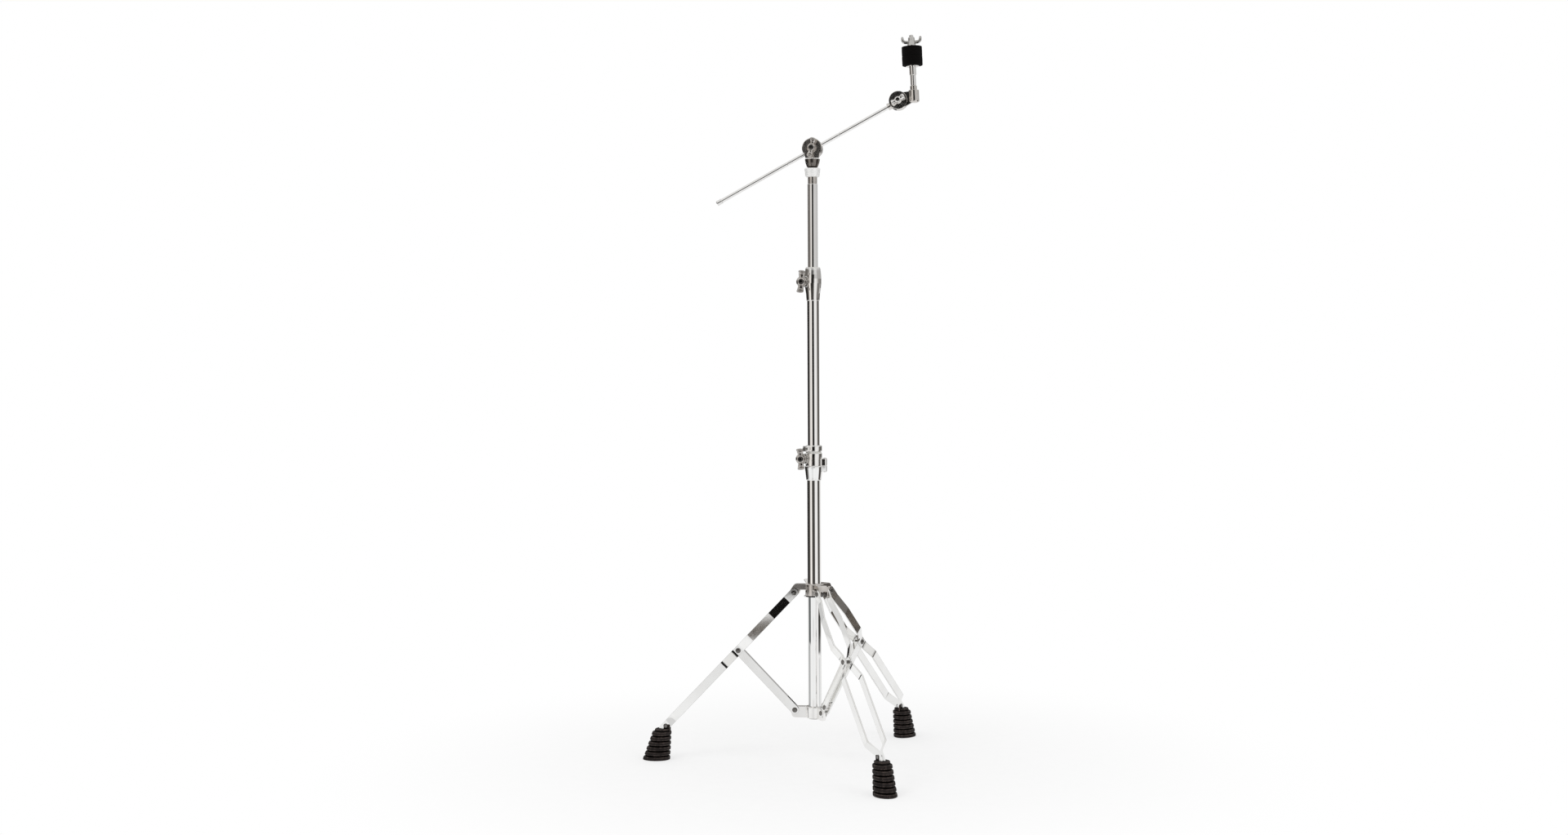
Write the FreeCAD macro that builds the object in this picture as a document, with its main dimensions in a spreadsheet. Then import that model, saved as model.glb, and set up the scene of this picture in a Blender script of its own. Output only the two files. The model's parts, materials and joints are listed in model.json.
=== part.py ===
import FreeCAD, Part
import os
import math
import Sketcher

# Cymbal boom stand: a folding double-braced tripod, a column of three
# telescoping tubes held by two wing-nut clamps, and a counter-rod boom with
# a toothed tilter in the middle and another at its cymbal end.
# Millimetres.  +Z is up, the front is -Y, the origin is on the floor under
# the column.  The boom rises towards +X, leg a points along -X.

os.makedirs("parts", exist_ok=True)
doc = FreeCAD.newDocument("boom_stand")
sheet = doc.addObject("Spreadsheet::Sheet", "Sheet")

LEG_YAWS = {"a": 180, "b": 300, "c": 60}
LOCK_YAW = 120  # leg collar bolt, half way between legs a and c

# Suffixes: od, id outer and inner diameter, r radius, x y z a place
SIZES = [
    # column
    ("base_od", 25.4), ("base_id", 22.4), ("mid_od", 22.2), ("mid_id", 19.3),
    ("top_od", 19.05), ("top_id", 16.65),
    ("base_bottom", 86.0), ("base_top", 560.0),
    ("mid_bottom", 380.0), ("mid_top", 903.0),
    ("upper_bottom", 700.0), ("upper_top", 1099.0),
    # lower collar that carries the braces
    ("brace_z", 99.5), ("pivot_r", 38.0), ("collar_low", 85.0), ("collar_high", 107.0),
    ("collar_od", 34.0), ("lug_width", 6.4),
    # sliding leg collar
    ("leg_z", 323.4), ("hub_low", 314.8), ("hub_high", 339.6), ("hub_od", 34.4),
    ("ear_width", 19.0), ("ear_wall", 3.1), ("slide_gap", 0.05),
    # legs and braces; strip_y_* are distances of a strip from the leg's middle plane,
    # link, strip_end and end_rivet are distances along the leg from its pivot
    ("leg_angle", 43.95), ("link", 155.5), ("strip_thick", 2.7), ("strip_width", 16.0),
    ("strip_y_hub", 11.0), ("strip_y_wide", 17.0), ("strip_y_pinch", 6.6),
    ("strip_y_low", 17.8), ("strip_y_end", 2.7),
    ("strip_end", 366.0), ("end_rivet", 359.3), ("pin_r", 3.0), ("run_gap", 0.05),
    ("brace_width", 10.0), ("brace_wall", 1.5), ("fork_length", 36.0),
    # rubber feet, half axes at the floor
    ("foot_x", 306.5), ("foot_half_x", 26.5), ("foot_half_y", 20.8), ("foot_height", 57.0),
    # lower clamp, measured from its own underside
    ("clamp_z", 536.0), ("cup_r", 17.0), ("barrel_r", 15.7), ("bush_r", 13.6),
    ("clamp_height", 52.0), ("jaw_low", 27.3), ("bolt_x", 23.0), ("bolt_z", 41.0),
    ("hinge_x", 21.0), ("bolt_r", 3.97), ("bolt_hole_r", 4.1),
    # memory lock ring
    ("lock_low", 590.2), ("lock_height", 12.0), ("lock_r", 15.5),
    # upper clamp, measured from its own underside
    ("upper_clamp_z", 877.0), ("upper_clamp_height", 62.0), ("upper_bush_r", 12.5),
    ("upper_bolt_x", 20.0), ("upper_bolt_z", 36.0),
    # boom tilter and boom
    ("boom_z", 1166.9), ("boom_angle", 28.5), ("disc_r", 19.0), ("rod_y", 18.0),
    ("rod_r", 4.0), ("sleeve_r", 6.0), ("rod_tail", 209.0), ("rod_reach", 185.8),
    # cymbal tilter, arm and seat
    ("cymbal_disc_r", 17.5), ("lean", 2.3), ("elbow_x", 30.2), ("arm_y", 6.0),
    ("post_r", 4.0), ("felt_r", 19.3), ("felt_height", 18.0), ("felt_low", 63.8),
    ("tube_r", 6.0),
]


class Size:
    """A number that also keeps the sheet formula behind it."""

    def __init__(self, text, value):
        self.text, self.value = text, value

    def join(self, sign, other, value):
        return Size("(%s %s %s)" % (self.text, sign, other.text), value)

    def __add__(self, other):
        other = as_size(other)
        return self.join("+", other, self.value + other.value)

    def __radd__(self, other):
        return as_size(other) + self

    def __sub__(self, other):
        other = as_size(other)
        return self.join("-", other, self.value - other.value)

    def __rsub__(self, other):
        return as_size(other) - self

    def __mul__(self, other):
        other = as_size(other)
        return self.join("*", other, self.value * other.value)

    def __rmul__(self, other):
        return as_size(other) * self

    def __truediv__(self, other):
        other = as_size(other)
        return self.join("/", other, self.value / other.value)

    def __neg__(self):
        return Size("(0 - %s)" % self.text, -self.value)


def as_size(x):
    if isinstance(x, Size):
        return x
    return Size("(0 - %r)" % (-x) if x < 0 else "%r" % x, float(x))


def sine(angle):
    return Size("sin(%s * 1deg)" % angle.text, math.sin(math.radians(angle.value)))


def cosine(angle):
    return Size("cos(%s * 1deg)" % angle.text, math.cos(math.radians(angle.value)))


class Dimensions:
    """The sheet's values, one attribute for each alias."""


dim = Dimensions()
for row, (alias, value) in enumerate(SIZES, 1):
    sheet.set("A%d" % row, alias)
    sheet.set("B%d" % row, repr(value))
    sheet.setAlias("B%d" % row, alias)
    setattr(dim, alias, Size("Sheet." + alias, float(value)))
doc.recompute()

Vector = FreeCAD.Vector
X, Y, Z = Vector(1, 0, 0), Vector(0, 1, 0), Vector(0, 0, 1)

# ------------------------------------------------------------------- outlines


def circle(radius, x=0, y=0):
    return ("circle", x, y, radius)


def box(x0, x1, y0, y1):
    return [(x0, y0), (x1, y0), (x1, y1), (x0, y1)]


def spun(yaw, along, across=0):
    """x and y of a point given along and across a direction from the column axis."""
    cos, sin = math.cos(math.radians(yaw)), math.sin(math.radians(yaw))
    return along * cos - across * sin, along * sin + across * cos


def pin_point(sk, geometry, point, x, y):
    """Fix one point of a sketch to the sheet."""
    for size, kind, axis in ((as_size(x), "DistanceX", -2), (as_size(y), "DistanceY", -1)):
        if size.value == 0 and "Sheet" not in size.text:
            sk.addConstraint(Sketcher.Constraint("PointOnObject", geometry, point, axis))
        else:
            rule = Sketcher.Constraint(kind, -1, 1, geometry, point, size.value)
            sk.setExpression("Constraints[%d]" % sk.addConstraint(rule), size.text)


def draw_circle(sk, x, y, radius):
    x, y, radius = as_size(x), as_size(y), as_size(radius)
    shape = Part.Circle(Vector(x.value, y.value, 0), Z, radius.value)
    ring = sk.addGeometry(shape, False)
    if x.value == 0 and y.value == 0:
        sk.addConstraint(Sketcher.Constraint("Coincident", ring, 3, -1, 1))
    else:
        pin_point(sk, ring, 3, x, y)
    rule = sk.addConstraint(Sketcher.Constraint("Radius", ring, radius.value))
    sk.setExpression("Constraints[%d]" % rule, radius.text)


def draw_corners(sk, corners):
    corners = [(as_size(x), as_size(y)) for x, y in corners]
    lines = []
    for (x0, y0), (x1, y1) in zip(corners, corners[1:] + corners[:1]):
        segment = Part.LineSegment(Vector(x0.value, y0.value, 0), Vector(x1.value, y1.value, 0))
        lines.append(sk.addGeometry(segment, False))
    for line, following in zip(lines, lines[1:] + lines[:1]):
        sk.addConstraint(Sketcher.Constraint("Coincident", line, 2, following, 1))
    for line, (x, y) in zip(lines, corners):
        pin_point(sk, line, 1, x, y)


def origin(part, role):
    return next(item for item in part.Origin.OriginFeatures if item.Role == role)


def sketch(part, side, outlines, offset=None, yaw=0):
    """Closed outlines on an origin plane, which may be turned by yaw about its upright."""
    sk = part.newObject("Sketcher::SketchObject", "sk")
    sk.AttachmentSupport = (origin(part, side + "_Plane"), [""])
    sk.MapMode = "FlatFace"
    if yaw:
        sk.AttachmentOffset = FreeCAD.Placement(Vector(0, 0, 0), FreeCAD.Rotation(Y, yaw))
    if offset is not None:
        sk.setExpression("AttachmentOffset.Base.z", as_size(offset).text)
    for outline in outlines:
        if outline[0] == "circle":
            draw_circle(sk, *outline[1:])
        else:
            draw_corners(sk, outline)
    return sk


# ------------------------------------------------------------------- features


def extrude(part, kind, profile, length=None, symmetric=True):
    """A Pad or Pocket of a sketch; without a length it goes right through."""
    made = part.newObject("PartDesign::" + kind, kind.lower())
    made.Profile = profile
    if symmetric:
        made.SideType = "Symmetric"
    if length is None:
        made.Type = "ThroughAll"
    else:
        made.setExpression("Length", as_size(length).text)
    return made


def extrude_between(part, kind, side, outlines, span):
    """Extrude between two heights along the global axis square to the plane."""
    low, high = (as_size(limit) for limit in span)
    mid = (low + high) / 2
    # the XZ plane's normal is -Y
    profile = sketch(part, side, outlines, -mid if side == "XZ" else mid)
    return extrude(part, kind, profile, high - low)


def pad(part, side, span, *outlines):
    return extrude_between(part, "Pad", side, outlines, span)


def cut(part, side, *outlines, span=None):
    """Pocket outlines right through, or between two heights."""
    if span is None:
        return extrude(part, "Pocket", sketch(part, side, outlines))
    return extrude_between(part, "Pocket", side, outlines, span)


def across(part, kind, yaw, outline, width):
    """Pad or Pocket a (radius, height) outline about a leg's own vertical plane."""
    return extrude(part, kind, sketch(part, "XZ", [outline], yaw=yaw), width)


def turn(part, corners, side="XZ", axis="V_Axis", kind="Revolution"):
    """A turned solid.  About V_Axis, corners are (radius, height along the axis)."""
    made = part.newObject("PartDesign::" + kind, "turn")
    made.Profile = sketch(part, side, [corners])
    made.ReferenceAxis = (made.Profile[0], [axis])
    made.Angle = 360


def bore(part, corners, side="XZ"):
    turn(part, corners, side, kind="Groove")


def teeth(part, inner, outer, y0, y1, count):
    """Radial locking teeth on a tilter face: one groove, repeated round the Y axis."""
    wedge = [(inner, -0.75), (outer, -0.95), (outer, 0.95), (inner, 0.75)]
    groove = cut(part, "XZ", wedge, span=(y0, y1))
    pattern = part.newObject("PartDesign::PolarPattern", "groove_pattern")
    pattern.Originals = [groove]
    pattern.Axis = (origin(part, "Y_Axis"), [""])
    pattern.Angle = 360
    pattern.Occurrences = count
    part.Tip = pattern


def dress(part, kind, pick, amount):
    """Fillet or chamfer every edge of the body so far that pick() accepts."""
    doc.recompute()
    base = part.Tip
    names = ["Edge%d" % i for i, edge in enumerate(base.Shape.Edges, 1) if pick(edge)]
    if not names:
        raise RuntimeError("no edges to dress on " + part.Label)
    made = part.newObject("PartDesign::" + kind, "edge")
    made.Base = (base, names)
    made.setExpression("Radius" if kind == "Fillet" else "Size", as_size(amount).text)
    doc.recompute()
    if made.State[0] == "Invalid" or not made.Shape.isValid():
        raise RuntimeError("%s failed on %s" % (kind, part.Label))


def near(a, b):
    return abs(a - b) < 1e-3


def middle(edge):
    return edge.valueAt((edge.FirstParameter + edge.LastParameter) / 2)


def is_line(edge):
    return len(edge.Vertexes) == 2 and edge.Curve.TypeId == "Part::GeomLine"


def straight(edge, axis):
    """Is this a straight edge along the axis?"""
    if not is_line(edge):
        return False
    span = edge.Vertexes[1].Point - edge.Vertexes[0].Point
    return abs(abs(span.dot(axis)) - span.Length) < 1e-6


def at_any_x(edge, places):
    return any(near(middle(edge).x, place) for place in places)


def ring_edge(edge, radius, place, axis="z"):
    """Is this a circular edge of the radius, centred at the place along the axis?"""
    if edge.Curve.TypeId != "Part::GeomCircle" or abs(edge.Curve.Radius - radius) > 1e-4:
        return False
    return abs(getattr(edge.Curve.Center, axis) - place) < 1e-4


# -------------------------------------------------------- pieces and placement

nodes = []  # the objects that become files


def new_body(label):
    return doc.addObject("PartDesign::Body", label)


def piece(label):
    nodes.append(new_body(label))
    return nodes[-1]


def group(label, members):
    compound = doc.addObject("Part::Compound", label)
    compound.Links = members
    nodes.append(compound)
    return compound


def put(item, x=0, y=0, z=0, yaw=0, pitch=0, roll=0):
    item.setExpression(
        "Placement",
        "create(<<placement>>; create(<<vector>>; %s; %s; %s);"
        " create(<<rotation>>; %s; %s; %s))"
        % tuple(as_size(v).text for v in (x, y, z, yaw, pitch, roll)),
    )


# ------------------------------------------------------------ shared hardware


def headed_pin(part, radius, half, overhang, crown):
    """A rivet along Y with a low domed head at each end; half is half its grip."""
    turn(part, [(0, -half - crown), (radius + 0.6, -half - (crown - 0.2)),
                (radius + overhang, -half), (radius, -half), (radius, half),
                (radius + overhang, half), (radius + 0.6, half + (crown - 0.2)),
                (0, half + crown)], side="XY")


def wing_nut(label, flange_r, hub_r, hub_height, reach, tip_height, width,
             hole=None, shank=None, low=2.6):
    """Cast wing nut: a turned hub with two lobes along X.  Its +Z is the way it unscrews.

    A hole radius makes a nut, a shank depth makes a wing bolt.
    """
    part = piece(label)
    turn(part, [(0, 0), (flange_r, 0), (flange_r, 1.6), (hub_r + 0.6, 3.6),
                (hub_r, hub_height - 1.6), (hub_r - 1.6, hub_height), (0, hub_height)])
    lobe = [(hub_r - 2.5, low), (hub_r + 1.5, low), (reach - 4.5, low + 2.6),
            (reach, low + 5.2), (reach, tip_height - 1.2), (reach - 1.4, tip_height),
            (reach - 3.6, tip_height), (reach - 5.6, low + 8.0), (hub_r + 0.2, low + 7.2),
            (hub_r - 2.5, low + 7.4)]
    for sign in (1, -1):
        pad(part, "XZ", (-width / 2, width / 2), [(sign * x, z) for x, z in lobe])
    # round the lobes as seen along the thread
    dress(part, "Fillet", lambda e: is_line(e) and near(abs(middle(e).x), reach)
          and near(abs(middle(e).y), width / 2), min(width / 2 - 0.6, 4.4))
    if hole is not None:
        cut(part, "XY", circle(hole))
    if shank is not None:
        pad(part, "XY", (shank, 1.0), circle(dim.bolt_r))
    return part


def washer(label, outer, inner, thick):
    part = piece(label)
    pad(part, "XY", (0, thick), circle(outer), circle(inner))
    return part


NUT_GAP = 0.05    # between a washer and the wing nut on it
THREAD_R = 4.05   # hole of the large wing nuts
WASHER_THICK = 1.5


def front_nut(name, y, pitch, washer_r, x=0, z=0, hole=THREAD_R, thick=WASHER_THICK, **nut):
    """A washer and wing nut facing the front, the washer's back at y."""
    put(washer(name + "_washer", washer_r, hole + 0.05, thick), x=x, y=y, z=z, roll=90)
    put(wing_nut(name + "_wing_nut", hole=hole, **nut),
        x=x, y=y - (thick + NUT_GAP), z=z, pitch=pitch, roll=90)


def clamp_fastening(name, x, z, head_y, tip_y, washer_y, reach, pitch):
    """Square-headed bolt along Y, its head behind, its thread and wing nut in front."""
    part = piece(name + "_bolt")
    pad(part, "XZ", (tip_y, head_y), circle(dim.bolt_r))
    pad(part, "XZ", (head_y, head_y + 5.0),
        [(-6.2, -3.6), (-3.6, -6.2), (3.6, -6.2), (6.2, -3.6),
         (6.2, 3.6), (3.6, 6.2), (-3.6, 6.2), (-6.2, 3.6)])
    put(part, x=x, z=z)
    front_nut(name, washer_y, pitch, washer_r=8.0, x=x, z=z, flange_r=10.2, hub_r=7.4,
              hub_height=12.5, reach=reach, tip_height=16.0, width=13.0)


def clamp_ear(x, z):
    """Outline in x and z of a clamp ear to the left of the column, round its bolt."""
    return [(-6, z - 9.5), (-x, z - 9.0), (-x - 6.5, z - 6.0), (-x - 8.5, z),
            (-x - 6.5, z + 6.0), (-x, z + 9.0), (-6, z + 9.5)]


def split_bush(label, inner, outer, flange, low, height, rim_top, z):
    """Flanged nylon bush standing in a clamp, slit along its left side."""
    part = piece(label)
    turn(part, [(inner, low), (outer, low), (outer, height + 0.1), (flange, height + 0.1),
                (flange, height + rim_top), (inner, height + rim_top)])
    cut(part, "XY", box(-30, -5, -0.8, 0.8))
    put(part, z=z)


# ---------------------------------------------------------------- column tubes

RIVET_UP = 8.0        # collar rivet above the collar's underside
RIVET_HOLE_R = 2.02


def tube(label, outer_d, inner_d, low, high):
    part = piece(label)
    pad(part, "XY", (0, high - low), circle(outer_d / 2), circle(inner_d / 2))
    put(part, z=low)
    return part


base_tube = tube("base_tube", dim.base_od, dim.base_id, dim.base_bottom, dim.base_top)
# rivet hole on the +X side, shared with the brace collar
cut(base_tube, "YZ", circle(RIVET_HOLE_R, 0, dim.collar_low + RIVET_UP - dim.base_bottom),
    span=(0, dim.base_od))
tube("middle_tube", dim.mid_od, dim.mid_id, dim.mid_bottom, dim.mid_top)
upper_tube = tube("upper_tube", dim.top_od, dim.top_id, dim.upper_bottom, dim.upper_top)
upper_length = (dim.upper_top - dim.upper_bottom).value
dress(upper_tube, "Fillet", lambda e: ring_edge(e, dim.top_od.value / 2, upper_length), 0.8)

# plastic plug closing the foot of the base tube
part = piece("base_tube_plug")
inner = dim.base_id / 2 - 0.05
outer = dim.base_od / 2
turn(part, [(0, -2.5), (outer - 0.8, -2.5), (outer, -1.7), (outer, 0), (inner, 0),
            (inner, 3.4), (inner - 2.2, 3.4), (inner - 2.2, 1.0), (0, 1.0)])
put(part, z=dim.base_bottom)

# ------------------------------------------------------- lower (brace) collar

part = piece("brace_collar")
height = dim.collar_high - dim.collar_low
radius = dim.collar_od / 2
half_lug = dim.lug_width / 2
lug_end = dim.pivot_r + 6.5
turn(part, [(0, 0), (radius - 0.8, 0), (radius, 0.8), (radius, height - 0.8),
            (radius - 0.8, height), (0, height)])
for yaw in LEG_YAWS.values():
    lug = box(10, lug_end, -half_lug, half_lug)
    pad(part, "XY", (0, height), [spun(yaw, along, side) for along, side in lug])
bore(part, box(0, dim.base_od / 2 + 0.02, -1, height + 1))
# round the outer ends of the three lugs, top and bottom
dress(part, "Fillet", lambda e: is_line(e) and near(e.Length, dim.lug_width.value)
      and near(math.hypot(middle(e).x, middle(e).y), lug_end.value), 6.4)
put(part, z=dim.collar_low)
# pivot holes, drilled tangentially through each lug
pivot_hole = circle(dim.pin_r + 0.02, dim.pivot_r, dim.brace_z - dim.collar_low)
for yaw in LEG_YAWS.values():
    across(part, "Pocket", yaw, pivot_hole, dim.lug_width + 2)
cut(part, "YZ", circle(RIVET_HOLE_R, 0, RIVET_UP), span=(0, dim.collar_od))

# the flush pins that the brace forks ride on
pins = []
for i, yaw in enumerate(LEG_YAWS.values()):
    pin = new_body("brace_pin_%d" % i)
    pad(pin, "XZ", (-half_lug, half_lug), circle(dim.pin_r, dim.pivot_r, 0))
    put(pin, z=dim.brace_z, yaw=yaw)
    pins.append(pin)
group("brace_collar_pins", pins)

# blind rivet through collar and tube, on the side away from leg a
part = piece("brace_collar_rivet")
turn(part, [(0, 9.2), (3.2, 9.2), (3.2, 10.68), (2.0, 10.68), (2.0, radius + 0.02),
            (3.6, radius + 0.02), (3.2, radius + 1.2), (0, radius + 1.6)])
put(part, z=dim.collar_low + RIVET_UP, pitch=90)

# ------------------------------------------------------------ leg collar (hub)

LOCK_UP = 12.2  # locking bolt above the collar's underside

part = piece("leg_collar")
height = dim.hub_high - dim.hub_low
radius = dim.hub_od / 2
pivot = dim.pivot_r
ear_top = height - 1.0
turn(part, [(0, 0), (radius - 1, 0), (radius, 1), (radius, height - 1),
            (radius - 1, height), (0, height)])
ear = [(10, 13.5), (pivot - 12, 13.5), (pivot - 7.5, 4.5), (pivot - 4.5, 1.5),
       (pivot + 4.5, 1.5), (pivot + 7.5, 5), (pivot + 7.5, 12.5),
       (pivot + 1, ear_top - 1.5), (pivot - 3, ear_top), (10, ear_top)]
# hollow of the ear, which leaves its two cheeks and its roof
hollow = [(radius + 1.5, 0), (pivot + 12, 0), (pivot + 12, 9.0), (pivot + 1, ear_top - 5.5),
          (pivot - 4, ear_top - 4), (radius + 1.5, ear_top - 4)]
pivot_hole = circle(dim.pin_r + 0.02, pivot, dim.leg_z - dim.hub_low)
for yaw in LEG_YAWS.values():
    across(part, "Pad", yaw, ear, dim.ear_width)
for yaw in LEG_YAWS.values():
    across(part, "Pocket", yaw, hollow, dim.ear_width - dim.ear_wall * 2)
    across(part, "Pocket", yaw, pivot_hole, 28)
# boss for the locking bolt
boss = sketch(part, "YZ", [circle(7.6, 0, LOCK_UP)], yaw=LOCK_YAW)
extrude(part, "Pad", boss, 24, symmetric=False)
bore(part, box(0, dim.base_od / 2 + dim.slide_gap, -1, height + 1))
# bolt hole from the axis out through the boss
bolt_hole = sketch(part, "YZ", [circle(dim.bolt_r + 0.05, 0, LOCK_UP)], yaw=LOCK_YAW)
extrude(part, "Pocket", bolt_hole, 40, symmetric=False).Reversed = True
put(part, z=dim.hub_low)

# rivets on which the leg strips turn
pins = []
for i, yaw in enumerate(LEG_YAWS.values()):
    pin = new_body("leg_pin_%d" % i)
    headed_pin(pin, dim.pin_r, dim.strip_y_hub + dim.strip_thick / 2 + 0.1,
               overhang=2.2, crown=2.0)
    x, y = spun(yaw, pivot)
    put(pin, x=x, y=y, z=dim.leg_z, yaw=yaw)
    pins.append(pin)
group("leg_collar_pins", pins)

# locking bolt: threaded in its boss, its tip bears on the base tube
part = wing_nut("leg_collar_wing_bolt", flange_r=8.0, hub_r=6.6, hub_height=12.0,
                reach=18.0, tip_height=16.5, width=11.0, shank=-11.0)
x, y = spun(LOCK_YAW, 24.2)
put(part, x=x, y=y, z=dim.hub_low + LOCK_UP, yaw=LOCK_YAW, pitch=90)

# --------------------------------------------------------------- lower clamp

height = dim.clamp_height
jaw_low = dim.jaw_low
barrel = dim.barrel_r
hinge = dim.hinge_x
bolt_x, bolt_z = dim.bolt_x, dim.bolt_z
ear = clamp_ear(bolt_x, bolt_z)
bush_bore = dim.bush_r + 0.05
tube_bore = dim.base_od / 2 + 0.02

# body: a full cup below, the back half of the barrel above
part = piece("lower_clamp_body")
turn(part, [(0, 0), (13.9, 0), (14.3, 1.2), (16.4, 19), (dim.cup_r, 24), (dim.cup_r, 26.3),
            (barrel, jaw_low), (barrel, height - 0.8), (barrel - 0.8, height), (0, height)])
cut(part, "YZ", box(-40, 1.0, jaw_low - 0.2, height + 5))
# fixed ear behind, hinge knuckle on the right
pad(part, "XZ", (2.0, 9.5), ear)
pad(part, "XY", (17.0, jaw_low - 0.2), circle(4.2, hinge, 0))
pad(part, "XY", (17.0, jaw_low - 0.2), box(10, hinge, -4.0, 4.0))
bore(part, [(0, -1), (tube_bore, -1), (tube_bore, 24.0), (bush_bore, 24.0),
            (bush_bore, height + 2), (0, height + 2)])
cut(part, "XZ", circle(dim.bolt_hole_r, -bolt_x, bolt_z))
cut(part, "XY", circle(2.02, hinge, 0))
put(part, z=dim.clamp_z)

# jaw: the front half of the barrel, hinged on the right
part = piece("lower_clamp_jaw")
turn(part, [(0, jaw_low), (barrel, jaw_low), (barrel, height - 0.8),
            (barrel - 0.8, height), (0, height)])
cut(part, "YZ", box(-1.0, 40, 0, height + 5))
pad(part, "XZ", (-9.5, -2.0), ear)
pad(part, "XY", (jaw_low, 41.0), circle(4.2, hinge, 0))
pad(part, "XY", (jaw_low, 41.0), box(12, hinge, -4.2, -1.2))
bore(part, box(0, bush_bore, 0, height + 2))
# open slot that lets the jaw swing clear of the bolt
cut(part, "XZ", [(-bolt_x - 12, bolt_z - 4.4), (-bolt_x + 2.4, bolt_z - 4.4),
                 (-bolt_x + 4.6, bolt_z - 2.2), (-bolt_x + 4.6, bolt_z + 2.2),
                 (-bolt_x + 2.4, bolt_z + 4.4), (-bolt_x - 12, bolt_z + 4.4)])
cut(part, "XY", circle(2.05, hinge, 0))
put(part, z=dim.clamp_z)

part = piece("lower_clamp_hinge_pin")
turn(part, [(0, 15.4), (2.6, 15.4), (3.2, 16.0), (3.2, 16.95), (2.0, 16.95), (2.0, 41.1),
            (3.2, 41.1), (3.2, 42.0), (2.4, 42.8), (0, 42.8)])
put(part, x=hinge, z=dim.clamp_z)

clamp_fastening("lower_clamp", -bolt_x, dim.clamp_z + bolt_z, head_y=9.55, tip_y=-26.5,
                washer_y=-9.55, reach=20.4, pitch=-94)
split_bush("lower_bush", inner=dim.mid_od / 2 + 0.05, outer=dim.bush_r, flange=barrel - 0.7,
           low=24.1, height=height, rim_top=1.7, z=dim.clamp_z)

# ---------------------------------------------------------------- memory lock

LOCK_TURN = 35      # yaw of the ring on the middle tube
KEY_X = -17.0       # key bolt in the ring's own frame
BLOCK_X = -20.5     # outer face of the block that the bolt crosses
BLOCK_HALF = 6.4

# split ring with a block for its bolt
part = piece("memory_lock")
height = dim.lock_height
radius = dim.lock_r
turn(part, [(0, 0), (radius - 0.9, 0), (radius, 0.9), (radius, height - 0.9),
            (radius - 0.9, height), (0, height)])
pad(part, "XY", (0.8, height - 0.8), box(BLOCK_X, -5, -BLOCK_HALF, BLOCK_HALF))
bore(part, box(0, dim.mid_od / 2 + 0.05, -1, height + 1))
cut(part, "XY", box(-30, -5, -1.1, 1.1))
cut(part, "XZ", circle(2.55, KEY_X, height / 2))
# flat seat under the round head of the key bolt
cut(part, "XZ", circle(3.75, KEY_X, height / 2), span=(-12.0, -BLOCK_HALF))
dress(part, "Fillet", lambda e: straight(e, Z) and near(middle(e).x, BLOCK_X)
      and near(abs(middle(e).y), BLOCK_HALF), 2.2)
put(part, z=dim.lock_low, yaw=LOCK_TURN)

# key bolt: shank, round head, square key
part = piece("memory_lock_bolt")
pad(part, "XZ", (-7.0, 8.5), circle(2.5))
pad(part, "XZ", (-8.4, -6.45), circle(3.6))
pad(part, "XZ", (-11.0, -8.4), box(-2.4, 2.4, -2.4, 2.4))
x, y = spun(LOCK_TURN, KEY_X)
put(part, x=x, y=y, z=dim.lock_low + height / 2, yaw=LOCK_TURN)

# --------------------------------------------------------------- upper clamp

part = piece("upper_clamp_body")
height = dim.upper_clamp_height
bolt_x, bolt_z = dim.upper_bolt_x, dim.upper_bolt_z
bush_bore = dim.upper_bush_r + 0.05
tube_bore = dim.mid_od / 2 + 0.02
turn(part, [(0, 0), (11.9, 0), (12.3, 0.8), (13.3, 14), (14.9, 24), (15.8, 33), (15.9, 42),
            (15.6, 49), (14.6, 58), (14.2, height - 0.7), (13.6, height), (0, height)])
ear = clamp_ear(bolt_x, bolt_z)
pad(part, "XZ", (1.0, 10.0), ear)
pad(part, "XZ", (-12.0, -1.0), ear)
bore(part, [(0, -1), (tube_bore, -1), (tube_bore, 26.0), (bush_bore, 26.0),
            (bush_bore, height + 2), (0, height + 2)])
cut(part, "XY", box(-40, -5, -1.0, 1.0), span=(20.0, height + 2))
cut(part, "XZ", circle(dim.bolt_hole_r, -bolt_x, bolt_z))
put(part, z=dim.upper_clamp_z)

clamp_fastening("upper_clamp", -bolt_x, dim.upper_clamp_z + bolt_z, head_y=10.05,
                tip_y=-29.0, washer_y=-12.05, reach=21.5, pitch=-84)
split_bush("upper_bush", inner=dim.top_od / 2 + 0.05, outer=dim.upper_bush_r,
           flange=dim.upper_bush_r + 1.0, low=26.1, height=height, rim_top=1.5,
           z=dim.upper_clamp_z)

# --------------------------------------------------------------- boom tilter

on_boom = dict(z=dim.boom_z, pitch=-dim.boom_angle)
on_rod = dict(y=dim.rod_y, **on_boom)
sleeve_hole = circle(dim.sleeve_r + 0.05, dim.rod_y, 0)

# base: a plug in the upper tube, two turned flares and the front toothed disc
part = piece("boom_tilter_base")
rim = dim.upper_top - dim.boom_z
plug = dim.top_id / 2 - 0.03
turn(part, [(0, rim - 26), (plug - 1, rim - 26), (plug, rim - 25), (plug, rim), (8.8, rim),
            (8.8, -54.4), (12.3, -54.4), (13.2, -53.4), (14.9, -40.2), (14.6, -38.8),
            (13.6, -37.9), (8.0, -37.9), (10.8, -34.6), (12.9, -28.5), (14.2, -22.0),
            (14.2, -20.8), (13.4, -20.0), (0, -20.0)])
pad(part, "XZ", (-9.0, -0.2), circle(dim.disc_r))
pad(part, "XZ", (-9.0, -0.2), [(-11.5, -26), (11.5, -26), (14, -11), (-14, -11)])
cut(part, "XZ", circle(dim.bolt_hole_r))
# ring-shaped recess in the front face
cut(part, "XZ", circle(16.2), circle(10.2), span=(-9.5, -8.2))
dress(part, "Chamfer", lambda e: ring_edge(e, dim.disc_r.value, -9.0, "y"), 1.0)
put(part, z=dim.boom_z)
teeth(part, 13.0, 20.0, -1.0, 0.5, count=32)

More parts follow.
